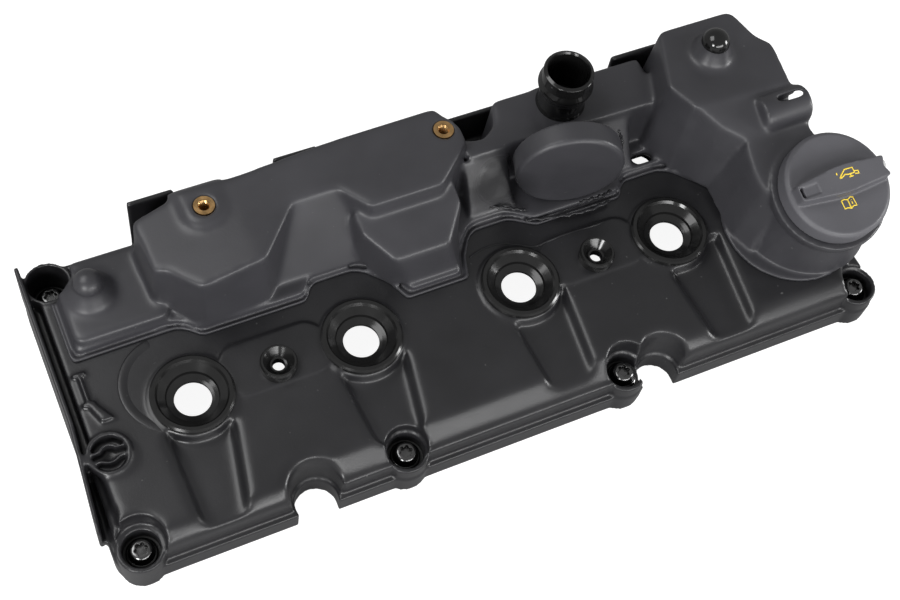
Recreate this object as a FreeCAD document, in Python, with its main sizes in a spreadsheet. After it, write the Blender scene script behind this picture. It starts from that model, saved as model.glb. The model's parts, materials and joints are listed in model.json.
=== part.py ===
import FreeCAD, Part
import math
import os
import Sketcher

# Engine valve cover of a four-cylinder engine, moulded in black plastic.
# X runs along the engine towards the oil filler, Y towards the back, Z up.
# The origin lies on the gasket plane, midway between the two centre bolts.

doc = FreeCAD.newDocument("engine_valve_cover")
sheet = doc.addObject("Spreadsheet::Sheet", "sizes")

SIZES = [
    ("Cylinders", [
        ("cylinder_spacing", 88.0),
        ("seal_lip_radius", 20.6),
        ("seal_bore_radius", 15.0),
        ("seal_hole_radius", 9.15),
        ("seal_lip_height", 3.4),
        ("seal_neck_depth", 6.0),
        ("seal_clearance", 0.15),
        ("centre_seal_radius", 9.3),
        ("centre_seal_height", 5.8),
        ("centre_bore_radius", 3.2),
        ("centre_tube_radius", 7.0),
        ("centre_window_foot", 9.0),
    ]),
    ("Flange and deck", [
        ("flange_left", -191.5),
        ("flange_right", 231.0),
        ("flange_front", -68.6),
        ("flange_back", 95.0),
        ("flange_height", 13.0),
        ("flange_corner", 13.0),
        ("ledge", 3.1),
        ("deck_height", 34.0),
        ("deck_left", -184.5),
        ("deck_right", 226.0),
        ("deck_back", 90.0),
        ("deck_corner", 8.0),
        ("outer_wall_top", 28.0),
        ("outer_crest", 7.0),
        ("middle_wall_top", 25.0),
        ("middle_lip", 3.4),
        ("middle_crest", 9.4),
        ("wall", 3.0),
        ("ceiling", 25.0),
        ("strip_height", 1.2),
        ("strip_front", -9.5),
        ("strip_back", 18.5),
        ("strip_reach", 27.0),
        ("strip_corner", 10.0),
    ]),
    ("Notches in the front edge", [
        ("notch_left", -92.7),
        ("notch_right", 97.2),
        ("notch_line", -64.6),
        ("notch_deck_radius", 14.3),
        ("notch_foot_radius", 10.8),
    ]),
    ("Troughs in front of the injectors", [
        ("trough_depth", 5.6),
        ("trough_draft", 24.0),
        ("trough_head", -8.0),
        ("trough_corner", 7.0),
    ]),
    ("Bolts of the outer rim", [
        ("bolt_line_front", -59.3),
        ("bolt_corner", -178.5),
        ("bolt_second", -44.0),
        ("bolt_third", 78.0),
        ("bolt_fourth", 220.0),
        ("bolt_back_x", -178.0),
        ("bolt_back_y", 83.0),
        ("tower_radius", 11.6),
        ("socket_radius", 9.2),
        ("socket_floor", 12.0),
        ("low_rim", 22.0),
        ("back_socket_radius", 10.0),
        ("grommet_bore", 7.0),
        ("grommet_rim", 1.8),
        ("sleeve_radius", 5.0),
        ("sleeve_bore", 3.5),
        ("bolt_radius", 3.0),
        ("bolt_washer_radius", 7.6),
        ("bolt_washer_height", 1.6),
        ("bolt_head_radius", 5.2),
        ("bolt_head_height", 5.2),
        ("bolt_tip_gap", 0.6),
        ("torx_radius", 3.3),
        ("torx_depth", 2.6),
        ("running_gap", 0.1),
    ]),
    ("Clip ring, rib and shield at the left end", [
        ("clip_x", -178.0),
        ("clip_y", -14.5),
        ("clip_ring_radius", 11.0),
        ("clip_ring_wall", 2.2),
        ("clip_height", 3.0),
        ("clip_depth", 4.0),
        ("clip_post_radius", 5.2),
        ("clip_post_bore", 3.9),
        ("clip_slot", 3.4),
        ("clip_arm", 1.0),
        ("shield_top", 38.0),
        ("shield_thickness", 2.2),
        ("shield_flare", 4.2),
        ("shield_front", -47.0),
        ("shield_bend", 5.0),
    ]),
    ("Tabs behind the housing", [
        ("tab_face", 91.0),
        ("tab_thickness", 2.6),
        ("tab_top", 69.0),
        ("tab_low_top", 56.0),
        ("tab_1_left", -132.0),
        ("tab_1_right", -108.0),
        ("tab_2_left", -56.5),
        ("tab_2_right", -32.5),
        ("tab_3_left", 136.5),
        ("tab_3_right", 165.0),
        ("tab_low_left", 34.0),
        ("tab_low_right", 80.0),
    ]),
    ("Gasket and underside", [
        ("gasket_inset_front", 20.1),
        ("gasket_inset_left", 25.5),
        ("gasket_inset_right", 23.0),
        ("gasket_inset_back", 11.0),
        ("gasket_width", 3.0),
        ("gasket_height", 3.4),
        ("gasket_corner", 9.0),
        ("seal_wall", 5.4),
        ("dry_pocket_depth", 21.0),
    ]),
    ("Welded housing", [
        ("weld_rim", 2.2),
        ("weld_groove_start", 1.3),
        ("weld_groove_end", 3.4),
        ("housing_foot", 4.6),
        ("seam_left", -180.0),
        ("seam_right", 229.0),
        ("seam_back", 88.0),
        ("seam_line", 28.3),
        ("seam_reach", 36.8),
        ("lobe_left", -14.0),
        ("lobe_right", 20.5),
        ("lobe_front", 11.8),
        ("housing_wall", 2.8),
        ("low_pad_top", 44.0),
        ("low_pad_right", -128.0),
    ]),
    ("Left plateau", [
        ("plateau_top", 79.0),
        ("plateau_draft", 2.5),
        ("plateau_left", -133.3),
        ("plateau_back", 84.6),
        ("plateau_back_right", 89.0),
        ("plateau_right", 37.4),
        ("plateau_front", 34.5),
        ("plateau_front_left", -115.0),
        ("plateau_front_right", -80.8),
        ("valley_back", 61.5),
        ("valley_left", -57.0),
        ("valley_right", -37.0),
        ("valley_foot", 40.5),
        ("step_back", 45.0),
        ("step_left", -23.2),
        ("step_right", 15.5),
        ("lobe_top_front", 60.0),
        ("lobe_edge", 22.0),
        ("slope_start", -84.0),
        ("slope_drop", 5.5),
        ("insert_boss_radius", 9.5),
        ("insert_boss_draft", 40.0),
    ]),
    ("Middle block", [
        ("middle_top", 70.0),
        ("middle_front", 58.5),
        ("middle_left", 58.0),
        ("middle_right", 150.0),
        ("middle_back", 88.0),
        ("middle_draft", 3.0),
        ("facet_front", 41.0),
        ("shoulder_left", 131.0),
        ("slot_x", 139.0),
        ("slot_y", 46.0),
        ("slot_length", 12.0),
        ("slot_width", 7.0),
    ]),
    ("Pressure regulator drum", [
        ("drum_x", 84.0),
        ("drum_front", 35.0),
        ("drum_axis_height", 67.2),
        ("drum_radius", 28.4),
        ("drum_depth", 12.5),
        ("drum_yaw", -16.0),
        ("drum_wall", 2.0),
        ("drum_round", 1.6),
        ("chamber_start", 5.0),
        ("chamber_back", 14.0),
        ("chamber_end", 26.0),
        ("chamber_floor", 20.0),
        ("chamber_wall", 2.6),
        ("diaphragm_thickness", 1.2),
        ("plate_radius", 13.0),
        ("plate_thickness", 1.5),
        ("spring_radius", 8.0),
        ("spring_wire", 0.7),
        ("spring_turns", 4.0),
    ]),
    ("Breather spigot", [
        ("spigot_x", 97.0),
        ("spigot_y", 75.5),
        ("spigot_top", 97.0),
        ("spigot_radius", 13.1),
        ("spigot_waist", 12.3),
        ("spigot_bead", 14.8),
        ("spigot_bore", 10.8),
    ]),
    ("Right block", [
        ("right_top", 90.0),
        ("right_draft", 4.0),
        ("right_left", 157.0),
        ("right_waist", 145.5),
        ("right_back", 87.0),
        ("right_back_corner", 201.0),
        ("right_edge", 212.0),
        ("right_front", 34.0),
        ("nose_front", 13.7),
        ("nose_drop", 8.4),
        ("saddle_left", 172.0),
        ("saddle_right", 211.5),
        ("saddle_height", 70.0),
        ("saddle_line", -20.0),
        ("saddle_tilt", 16.5),
        ("hose_clip_left", 185.5),
        ("hose_clip_right", 214.5),
        ("hose_clip_y", 25.0),
        ("hose_clip_top", 92.0),
        ("hose_clip_radius", 10.0),
        ("hose_clip_wall", 2.6),
        ("hose_slot_left", 195.5),
        ("hose_slot_right", 211.0),
    ]),
    ("Locating knobs", [
        ("knob_radius", 7.5),
        ("left_knob_x", -161.0),
        ("left_knob_y", 65.5),
        ("left_knob_rise", 9.0),
        ("right_knob_x", 177.0),
        ("right_knob_y", 65.0),
        ("right_knob_rise", 9.0),
        ("knob_foot", 13.0),
    ]),
    ("Threaded inserts", [
        ("insert_radius", 5.2),
        ("insert_thread", 3.0),
        ("insert_length", 12.0),
        ("insert_left_x", -99.0),
        ("insert_left_y", 72.5),
        ("insert_right_x", 28.5),
        ("insert_right_y", 74.5),
    ]),
    ("Oil filler neck and cap", [
        ("neck_x", 205.0),
        ("neck_y", -24.0),
        ("neck_height", 72.0),
        ("neck_tilt", 11.7),
        ("neck_base_x", 197.8),
        ("neck_base_y", -16.1),
        ("neck_base_radius", 37.4),
        ("neck_ring_radius", 32.0),
        ("neck_foot_radius", 36.5),
        ("neck_lip_radius", 25.5),
        ("neck_lip_height", 7.0),
        ("neck_bore", 21.0),
        ("neck_ledge_radius", 18.1),
        ("cap_radius", 29.0),
        ("cap_face_radius", 27.0),
        ("cap_gap", 0.6),
        ("cap_height", 11.5),
        ("cap_shell", 3.0),
        ("grip_width", 14.0),
        ("grip_height", 6.5),
        ("insert_plug_radius", 18.0),
        ("lug_radius", 20.2),
        ("lug_height", 3.0),
        ("cap_seal_height", 1.4),
    ]),
    ("Oil separator inside the housing", [
        ("baffle_thickness", 2.0),
        ("baffle_height", 40.0),
        ("baffle_left", -122.0),
        ("baffle_right", -86.0),
        ("baffle_front", 46.0),
        ("baffle_back", 76.0),
        ("cyclone_radius", 5.2),
        ("cyclone_tip", 2.2),
        ("cyclone_length", 18.0),
        ("cyclone_pitch", 12.0),
        ("valve_radius", 6.0),
        ("valve_stem", 1.8),
    ]),
]


def fill_sheet():
    """Write each size to a cell of the sheet, as text, under its own alias."""
    row = 1
    for group, entries in SIZES:
        sheet.set("A%d" % row, group)
        row += 1
        for alias, value in entries:
            sheet.set("A%d" % row, alias.replace("_", " "))
            sheet.set("B%d" % row, str(value))
            sheet.setAlias("B%d" % row, alias)
            row += 1
    doc.recompute()


class Size:
    """A number read from the sheet, with the expression that gives it."""

    def __init__(self, value, text):
        self.value = float(value)
        self.text = text

    def __add__(self, other):
        other = size_of(other)
        return Size(self.value + other.value, "(%s + %s)" % (self.text, other.text))

    def __sub__(self, other):
        other = size_of(other)
        return Size(self.value - other.value, "(%s - %s)" % (self.text, other.text))

    def __mul__(self, other):
        other = size_of(other)
        return Size(self.value * other.value, "(%s * %s)" % (self.text, other.text))

    def __truediv__(self, other):
        other = size_of(other)
        return Size(self.value / other.value, "(%s / %s)" % (self.text, other.text))

    def __neg__(self):
        return Size(-self.value, "(0 - %s)" % self.text)

    def __radd__(self, other):
        return size_of(other) + self

    def __rsub__(self, other):
        return size_of(other) - self

    def __rmul__(self, other):
        return size_of(other) * self


def size_of(item):
    """Take a plain number for a Size too."""
    if isinstance(item, Size):
        return item
    if item < 0:
        return Size(item, "(0 - %r)" % -float(item))
    return Size(item, repr(float(item)))


class Sheet:
    """Gives each alias of the sheet as a Size."""

    def __getattr__(self, alias):
        return Size(sheet.get(alias), "sizes." + alias)


S = Sheet()


def bind(item, name, size):
    """Set a property or a constraint to a size, and keep it tied to the sheet."""
    size = size_of(size)
    if "sizes." in size.text:
        item.setExpression(name, size.text)
    return size.value


def set_length(feature, name, size):
    """Set one length of a feature and tie it to the sheet."""
    setattr(feature, name, size_of(size).value)
    bind(feature, name, size)


def plane_of(body, role):
    """Find one of a body's own origin planes."""
    for feature in body.Origin.OriginFeatures:
        if feature.Role == role:
            return feature


def new_body(name):
    body = doc.addObject("PartDesign::Body", name)
    body.Label = name
    return body


def new_sketch(body, name, role="XY_Plane", offset=0, along=(0, 0), turn=0, axis=(0, 0, 1)):
    """Open a sketch on an origin plane, moved by offset along the plane's normal.

    along moves the sketch in its own plane and turn swings it about axis, in degrees.
    """
    sketch = body.newObject("Sketcher::SketchObject", name)
    sketch.AttachmentSupport = [(plane_of(body, role), "")]
    sketch.MapMode = "FlatFace"
    base = FreeCAD.Vector(size_of(along[0]).value, size_of(along[1]).value, size_of(offset).value)
    swing = FreeCAD.Rotation(FreeCAD.Vector(*axis), size_of(turn).value)
    sketch.AttachmentOffset = FreeCAD.Placement(base, swing)
    bind(sketch, "AttachmentOffset.Base.x", along[0])
    bind(sketch, "AttachmentOffset.Base.y", along[1])
    bind(sketch, "AttachmentOffset.Base.z", offset)
    bind(sketch, "AttachmentOffset.Rotation.Angle", turn)
    return sketch


def dimension(sketch, wanted):
    """Add dimensions to a sketch, each (kind, geometry, size), and tie them to the sheet."""
    constraints = [Sketcher.Constraint(kind, *geometry, size_of(size).value)
                   for kind, geometry, size in wanted]
    for index, (kind, geometry, size) in zip(sketch.addConstraint(constraints), wanted):
        bind(sketch, "Constraints[%d]" % index, size)


def from_origin(geometry, vertex, point):
    """The two dimensions that place a point from the sketch's origin."""
    return [("DistanceX", (-1, 1, geometry, vertex), point[0]),
            ("DistanceY", (-1, 1, geometry, vertex), point[1])]


def corner_points(points):
    """Work out where each corner's round starts, has its centre and ends, for the first drawing."""
    found = []
    for index, point in enumerate(points):
        here = FreeCAD.Vector(size_of(point[0]).value, size_of(point[1]).value, 0)
        before = points[index - 1]
        after = points[(index + 1) % len(points)]
        back = FreeCAD.Vector(size_of(before[0]).value, size_of(before[1]).value, 0) - here
        ahead = FreeCAD.Vector(size_of(after[0]).value, size_of(after[1]).value, 0) - here
        if len(point) < 3:
            found.append((here, None, here))
            continue
        radius = size_of(point[2]).value
        half = back.getAngle(ahead) / 2
        back.normalize()
        ahead.normalize()
        middle = (back + ahead).normalize()
        centre = here + middle * (radius / math.sin(half))
        reach = radius / math.tan(half)
        found.append((here + back * reach, centre, here + ahead * reach))
    return found


def corner_arc(start, centre, end):
    """Draw a corner's round anticlockwise, and say which of its ends comes first on the outline."""
    turn_left = (start - centre).cross(end - centre).z > 0
    low, high = (start, end) if turn_left else (end, start)
    angles = [math.atan2(spot.y - centre.y, spot.x - centre.x) for spot in (low, high)]
    circle = Part.Circle(centre, FreeCAD.Vector(0, 0, 1), (start - centre).Length)
    arc = Part.ArcOfCircle(circle, angles[0], angles[1])
    return (arc, 1, 2) if turn_left else (arc, 2, 1)


def draw_outline(sketch, points):
    """Draw a closed outline. A point is (x, y) or, where the corner is round, (x, y, radius)."""
    rounds = corner_points(points)
    count = len(points)
    lines = []
    for index in range(count):
        start = rounds[index][2]
        end = rounds[(index + 1) % count][0]
        lines.append(sketch.addGeometry(Part.LineSegment(start, end), False))
    ties = []
    sizes = []
    for index, point in enumerate(points):
        before = lines[index - 1]
        after = lines[index]
        start, centre, end = rounds[index]
        if centre is None:
            ties.append(Sketcher.Constraint("Coincident", before, 2, after, 1))
            sizes += from_origin(after, 1, point)
            continue
        curve, first, last = corner_arc(start, centre, end)
        arc = sketch.addGeometry(curve, False)
        corner = FreeCAD.Vector(size_of(point[0]).value, size_of(point[1]).value, 0)
        mark = sketch.addGeometry(Part.Point(corner), True)
        ties += [
            Sketcher.Constraint("Tangent", before, 2, arc, first),
            Sketcher.Constraint("Tangent", arc, last, after, 1),
            Sketcher.Constraint("PointOnObject", mark, 1, before),
            Sketcher.Constraint("PointOnObject", mark, 1, after),
        ]
        sizes.append(("Radius", (arc,), point[2]))
        sizes += from_origin(mark, 1, point)
    sketch.addConstraint(ties)
    dimension(sketch, sizes)


def draw_circle(sketch, centre, radius):
    middle = FreeCAD.Vector(size_of(centre[0]).value, size_of(centre[1]).value, 0)
    circle = Part.Circle(middle, FreeCAD.Vector(0, 0, 1), size_of(radius).value)
    index = sketch.addGeometry(circle, False)
    dimension(sketch, from_origin(index, 3, centre) + [("Radius", (index,), radius)])


def rectangle(left, front, right, back, radius=None):
    """Four corners of a rectangle, round where a radius is given."""
    corners = [(left, front), (right, front), (right, back), (left, back)]
    if radius is None:
        return corners
    return [(x, y, radius) for x, y in corners]


def pad(body, sketch, length, name, reversed_way=False, draft=0):
    feature = body.newObject("PartDesign::Pad", name)
    feature.Profile = sketch
    set_length(feature, "Length", length)
    set_length(feature, "TaperAngle", draft)
    feature.Reversed = reversed_way
    return feature


def pocket(body, sketch, length, name, reversed_way=False, draft=0):
    feature = body.newObject("PartDesign::Pocket", name)
    feature.Profile = sketch
    set_length(feature, "Length", length)
    set_length(feature, "TaperAngle", draft)
    feature.Reversed = reversed_way
    return feature


def raise_outline(body, name, points, base, top, draft=0):
    """Pad a plan outline from the height base to the height top, drawn at the top.

    With a draft the block widens downwards from its top outline.
    """
    sketch = new_sketch(body, name + "_plan", offset=top)
    draw_outline(sketch, points)
    return pad(body, sketch, top - base, name, reversed_way=True, draft=draft)


def sink_outline(body, name, points, top, depth, draft=0):
    """Pocket a plan outline downwards from the height top."""
    sketch = new_sketch(body, name + "_plan", offset=top)
    draw_outline(sketch, points)
    return pocket(body, sketch, depth, name, draft=-size_of(draft))


def raise_circles(body, name, centres, radius, base, top, draft=0):
    sketch = new_sketch(body, name + "_plan", offset=top)
    for centre in centres:
        draw_circle(sketch, centre, radius)
    return pad(body, sketch, size_of(top) - base, name, reversed_way=True, draft=draft)


def sink_circles(body, name, centres, radius, top, depth, draft=0):
    sketch = new_sketch(body, name + "_plan", offset=top)
    for centre in centres:
        draw_circle(sketch, centre, radius)
    return pocket(body, sketch, depth, name, draft=-size_of(draft))


def run_along(body, name, profile, start, end):
    """Pad a profile, drawn in Y and Z, along X from start to end."""
    sketch = new_sketch(body, name + "_profile", "YZ_Plane", offset=start)
    draw_outline(sketch, profile)
    return pad(body, sketch, size_of(end) - start, name)


def spin(body, name, profile, role="XZ_Plane", axis="V_Axis", offset=0, along=(0, 0), turn=0,
         axis_turn=(0, 0, 1)):
    """Turn a profile of radius and height round a sketch axis."""
    sketch = new_sketch(body, name + "_profile", role, offset, along, turn, axis_turn)
    draw_outline(sketch, profile)
    feature = body.newObject("PartDesign::Revolution", name)
    feature.Profile = sketch
    feature.ReferenceAxis = (sketch, [axis])
    feature.Angle = 360
    return feature


fill_sheet()

INJECTORS = [(S.cylinder_spacing * place, size_of(0)) for place in (-1.5, -0.5, 0.5, 1.5)]
CENTRE_BOLTS = [(S.cylinder_spacing * place, size_of(0)) for place in (-1, 1)]
FRONT_BOLTS = [(x, S.bolt_line_front) for x in (S.bolt_corner, S.bolt_second, S.bolt_third,
                                                S.bolt_fourth)]
BACK_BOLT = (S.bolt_back_x, S.bolt_back_y)
NOTCHES = [(S.notch_left, S.notch_line), (S.notch_right, S.notch_line)]

# Each trough, as distances from its injector: back left, front left, front right, back right,
# and how far the front reaches past the crest of the rail behind it.
TROUGHS = [
    (-19.0, -17.5, 5.5, 17.0, -66.0),
    (-18.5, -14.5, 11.0, 20.0, -57.5),
    (-13.5, -9.5, 16.5, 22.0, -61.0),
    (-10.5, -5.5, 20.0, 27.0, -66.0),
]


def gasket_left():
    return S.flange_left + S.gasket_inset_left


def gasket_right():
    return S.flange_right - S.gasket_inset_right


def gasket_front():
    return S.flange_front + S.gasket_inset_front


def gasket_back():
    return S.flange_back - S.gasket_inset_back


def gasket_loop(inset):
    """The gasket's centre line, moved inwards by inset."""
    return rectangle(gasket_left() + inset, gasket_front() + inset, gasket_right() - inset,
                     gasket_back() - inset, S.gasket_corner - inset)


def build_cover_body():
    """The lower moulding: flange, deck, front rail, injector wells and bolt towers."""
    body = new_body("cover_body")
    wall_front = S.flange_front + S.ledge
    outer_crest = wall_front + S.outer_crest
    middle_crest = wall_front + S.middle_lip + S.middle_crest
    rail_back = middle_crest + 6
    raise_outline(body, "flange", rectangle(S.flange_left, S.flange_front, S.flange_right, S.flange_back,
                                            S.flange_corner), 0, S.flange_height)
    raise_circles(body, "flange_lobes", FRONT_BOLTS[1:], S.tower_radius + 0.7, 0, S.flange_height)
    raise_outline(body, "side_wall", rectangle(S.flange_left + S.ledge, wall_front,
                                               S.flange_right - S.ledge,
                                               S.flange_back - S.ledge, S.flange_corner - S.ledge),
                  0, S.middle_wall_top)
    raise_outline(body, "deck", rectangle(S.deck_left, rail_back, S.deck_right, S.deck_back,
                                          S.deck_corner),
                  0, S.deck_height)
    build_left_end(body)
    build_back_tabs(body)
    outer_rail = [(rail_back + 3, S.middle_wall_top - 5), (wall_front, S.middle_wall_top - 5),
                  (wall_front, S.outer_wall_top), (outer_crest, S.deck_height),
                  (rail_back + 3, S.deck_height)]
    run_along(body, "rail_left", outer_rail, S.deck_left, S.notch_left)
    run_along(body, "rail_right", outer_rail, S.notch_right, S.bolt_fourth)
    middle_rail = [(rail_back + 3, S.middle_wall_top - 5),
                   (wall_front + S.middle_lip, S.middle_wall_top - 5),
                   (wall_front + S.middle_lip, S.middle_wall_top + 0.8), (middle_crest, S.deck_height),
                   (rail_back + 3, S.deck_height)]
    run_along(body, "rail_middle", middle_rail, S.notch_left, S.notch_right)
    rail_cut = S.deck_height - S.low_rim + 1
    sink_circles(body, "corner_clearance", FRONT_BOLTS[:1], S.tower_radius + 0.8, S.deck_height + 1,
                 rail_cut)
    sink_circles(body, "rail_clearance", FRONT_BOLTS[1:], S.tower_radius - 0.8, S.deck_height + 1,
                 rail_cut)
    raise_circles(body, "front_towers", FRONT_BOLTS, S.tower_radius, 0, S.low_rim)
    raise_circles(body, "back_tower", [BACK_BOLT], S.tower_radius, 0, S.deck_height + 1)
    sink_circles(body, "back_socket", [BACK_BOLT], S.back_socket_radius, S.deck_height + 1,
                 S.deck_height + 1 - S.socket_floor)
    sink_circles(body, "front_sockets", FRONT_BOLTS, S.socket_radius, S.low_rim,
                 S.low_rim - S.socket_floor)
    sink_circles(body, "bolt_holes", FRONT_BOLTS + [BACK_BOLT], S.grommet_bore, S.socket_floor,
                 S.socket_floor)
    notch_draft = 5.0
    sink_circles(body, "notch_walls", NOTCHES, S.notch_deck_radius, S.deck_height,
                 S.deck_height - S.flange_height, notch_draft)
    sink_circles(body, "notch_feet", NOTCHES, S.notch_foot_radius, S.flange_height, S.flange_height)
    for index, (left, left_end, right_end, right, front) in enumerate(TROUGHS):
        middle = INJECTORS[index][0]
        sink_outline(body, "trough_%d" % (index + 1), [
            (middle + left, S.trough_head), (middle + left_end, front, S.trough_corner),
            (middle + right_end, front, S.trough_corner), (middle + right, S.trough_head)],
            S.deck_height, S.trough_depth, S.trough_draft)
    for index, (x, y) in enumerate(CENTRE_BOLTS):
        raise_outline(body, "strip_%d" % (index + 1),
                      rectangle(x - S.strip_reach, S.strip_front, x + S.strip_reach, S.strip_back,
                                S.strip_corner), S.deck_height - 1, S.deck_height + S.strip_height)
    sink_outline(body, "cavity", gasket_loop(S.seal_wall / 2), S.ceiling, S.ceiling)
    bays = new_sketch(body, "bays_plan", offset=S.deck_height - S.wall)
    edges = [gasket_left() + S.seal_wall]
    for (x, y), (left, left_end, right_end, right, front) in zip(INJECTORS, TROUGHS):
        edges += [x - S.seal_lip_radius - S.wall, x + S.seal_lip_radius + 2 * S.wall]
    edges.append(gasket_right() - S.seal_wall)
    for index in range(0, len(edges), 2):
        draw_outline(bays, rectangle(edges[index], gasket_front() + S.seal_wall, edges[index + 1],
                                     gasket_back() - S.seal_wall))
    pocket(body, bays, S.deck_height - S.wall, "bays")
    groove = new_sketch(body, "gasket_groove_plan", offset=S.gasket_height + S.seal_clearance)
    draw_outline(groove, gasket_loop(S.gasket_width / 2 + S.seal_clearance))
    draw_outline(groove, gasket_loop(-S.gasket_width / 2 - S.seal_clearance))
    pocket(body, groove, S.gasket_height + S.seal_clearance, "gasket_groove")
    dry = new_sketch(body, "dry_pockets_plan", offset=S.dry_pocket_depth)
    dry_front = wall_front + S.wall
    dry_back = gasket_front() - S.seal_wall / 2 - 0.6
    clear = S.tower_radius + S.wall / 2
    notch_clear = S.notch_deck_radius + S.wall
    for start, end in ((S.bolt_corner + clear, S.notch_left - notch_clear),
                       (S.bolt_second + clear, S.bolt_third - clear),
                       (S.notch_right + notch_clear, S.bolt_fourth - clear)):
        draw_outline(dry, rectangle(start, dry_front, end, dry_back))
    draw_outline(dry, rectangle(S.deck_left, gasket_front(), gasket_left() - S.seal_wall / 2 - 0.6,
                                S.bolt_back_y - clear))
    draw_outline(dry, rectangle(gasket_right() + S.seal_wall / 2 + 0.6, gasket_front(),
                                S.deck_right - S.wall, gasket_back()))
    pocket(body, dry, S.dry_pocket_depth, "dry_pockets")
    raise_circles(body, "injector_bosses", INJECTORS, S.seal_lip_radius + 1, S.ceiling - 4,
                  S.deck_height + 1)
    sink_circles(body, "seal_seats", INJECTORS, S.seal_lip_radius + S.seal_clearance,
                 S.deck_height + S.strip_height + 0.1, S.strip_height - 0.9)
    sink_circles(body, "injector_bores", INJECTORS, S.seal_bore_radius, S.deck_height + 1,
                 S.deck_height + 1)
    raise_circles(body, "centre_tubes", CENTRE_BOLTS, S.centre_tube_radius, 0, S.deck_height)
    sink_circles(body, "centre_bores", CENTRE_BOLTS, S.centre_bore_radius,
                 S.deck_height + S.strip_height, S.deck_height + S.strip_height)
    window = new_sketch(body, "centre_windows_plan", offset=S.deck_height - S.wall)
    for x, y in CENTRE_BOLTS:
        draw_outline(window, rectangle(x - S.centre_bore_radius, y - S.centre_bore_radius,
                                       x + S.centre_tube_radius + 1, y + S.centre_tube_radius + 1))
    pocket(body, window, S.deck_height - S.wall - S.centre_window_foot, "centre_windows")
    sink_circles(body, "slot_space", [(S.slot_x, S.slot_y)], S.slot_length / 2 + 3,
                 S.deck_height - S.wall,
                 S.deck_height - S.wall)
    sink_outline(body, "slot", slot_outline(), S.deck_height, S.wall + 1)
    sink_circles(body, "filler_drain", [(S.neck_x - 7, S.neck_y + 6)], S.neck_bore - 1, S.deck_height,
                 S.deck_height - S.ceiling + 1)
    return body


def slot_outline():
    """The slot beside the fourth injector, which passes through the housing's foot and the deck."""
    half = S.slot_length / 2
    side = S.slot_width / 2
    return rectangle(S.slot_x - half, S.slot_y - side, S.slot_x + half, S.slot_y + side, side - 0.1)


def build_back_tabs(body):
    """The upright tabs along the back edge that hold the engine's cable duct."""
    back = S.tab_face + S.tab_thickness
    for index, (left, right, top) in enumerate((
            (S.tab_1_left, S.tab_1_right, S.tab_top), (S.tab_2_left, S.tab_2_right, S.tab_top),
            (S.tab_3_left, S.tab_3_right, S.tab_top), (S.tab_low_left, S.tab_low_right, S.tab_low_top))):
        sketch = new_sketch(body, "back_tab_%d_face" % (index + 1), "XZ_Plane", offset=-back)
        foot = S.flange_height - 1
        draw_outline(sketch, [(left, foot), (right, foot), (right, top, 2), (left, top, 2)])
        pad(body, sketch, S.tab_thickness, "back_tab_%d" % (index + 1))


def build_left_end(body):
    """The clip ring, the small rib and the thin shield at the left end of the cover."""
    clip = [(S.clip_x, S.clip_y)]
    ring_top = S.deck_height + S.clip_height
    well_floor = S.deck_height - S.clip_depth
    post_top = ring_top - 0.8
    reach = S.clip_ring_radius - S.clip_ring_wall
    half_slot = S.clip_slot / 2
    half_arms = half_slot + S.clip_arm
    raise_circles(body, "clip_ring", clip, S.clip_ring_radius, well_floor - S.wall, ring_top)
    sink_circles(body, "clip_well", clip, reach, ring_top, ring_top - well_floor)
    raise_circles(body, "clip_post", clip, S.clip_post_radius, well_floor - 1, post_top)
    raise_outline(body, "clip_arms", rectangle(
        S.clip_x - reach - 0.5, S.clip_y - half_arms, S.clip_x + reach + 0.5, S.clip_y + half_arms),
        well_floor - 1, post_top)
    sink_outline(body, "clip_slot", rectangle(
        S.clip_x - reach, S.clip_y - half_slot, S.clip_x + reach, S.clip_y + half_slot),
        post_top, post_top - well_floor)
    sink_circles(body, "clip_post_bore", clip, S.clip_post_bore, post_top, post_top - well_floor + 0.6)
    rib_left = S.deck_left + 2.5
    rib_web = 1.6
    rib_foot = 12.0
    rib_head = 30.0
    rib_width = 6.0
    rib_top = S.deck_height + 2.6
    rib_right = rib_left + rib_width
    stem_left = rib_left + 2.2
    stem_right = stem_left + rib_web
    raise_outline(body, "rib", [
        (rib_left, rib_foot), (stem_left, rib_foot), (rib_right, rib_foot - 10),
        (rib_right + 6, rib_foot - 10),
        (rib_right, rib_foot), (rib_right, rib_foot + rib_web), (stem_right, rib_foot + rib_web),
        (stem_right, rib_head - rib_web), (rib_right, rib_head - rib_web), (rib_right, rib_head),
        (rib_left, rib_head), (rib_left, rib_head - rib_web), (stem_left, rib_head - rib_web),
        (stem_left, rib_foot + rib_web), (rib_left, rib_foot + rib_web)], S.deck_height - 1, rib_top)
    outer = S.flange_left + 0.4
    inner = outer + S.shield_thickness
    raise_outline(body, "shield", [
        (outer, S.flange_back), (outer, S.shield_bend), (outer - S.shield_flare, S.shield_front),
        (inner - S.shield_flare, S.shield_front), (inner, S.shield_bend), (inner, S.flange_back)],
        S.flange_height / 2, S.shield_top)
    raise_outline(body, "shield_floor", [
        (outer, S.shield_bend), (outer - S.shield_flare, S.shield_front), (S.deck_left, S.shield_front),
        (S.deck_left, S.shield_bend)], S.flange_height - S.wall, S.flange_height)


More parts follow.
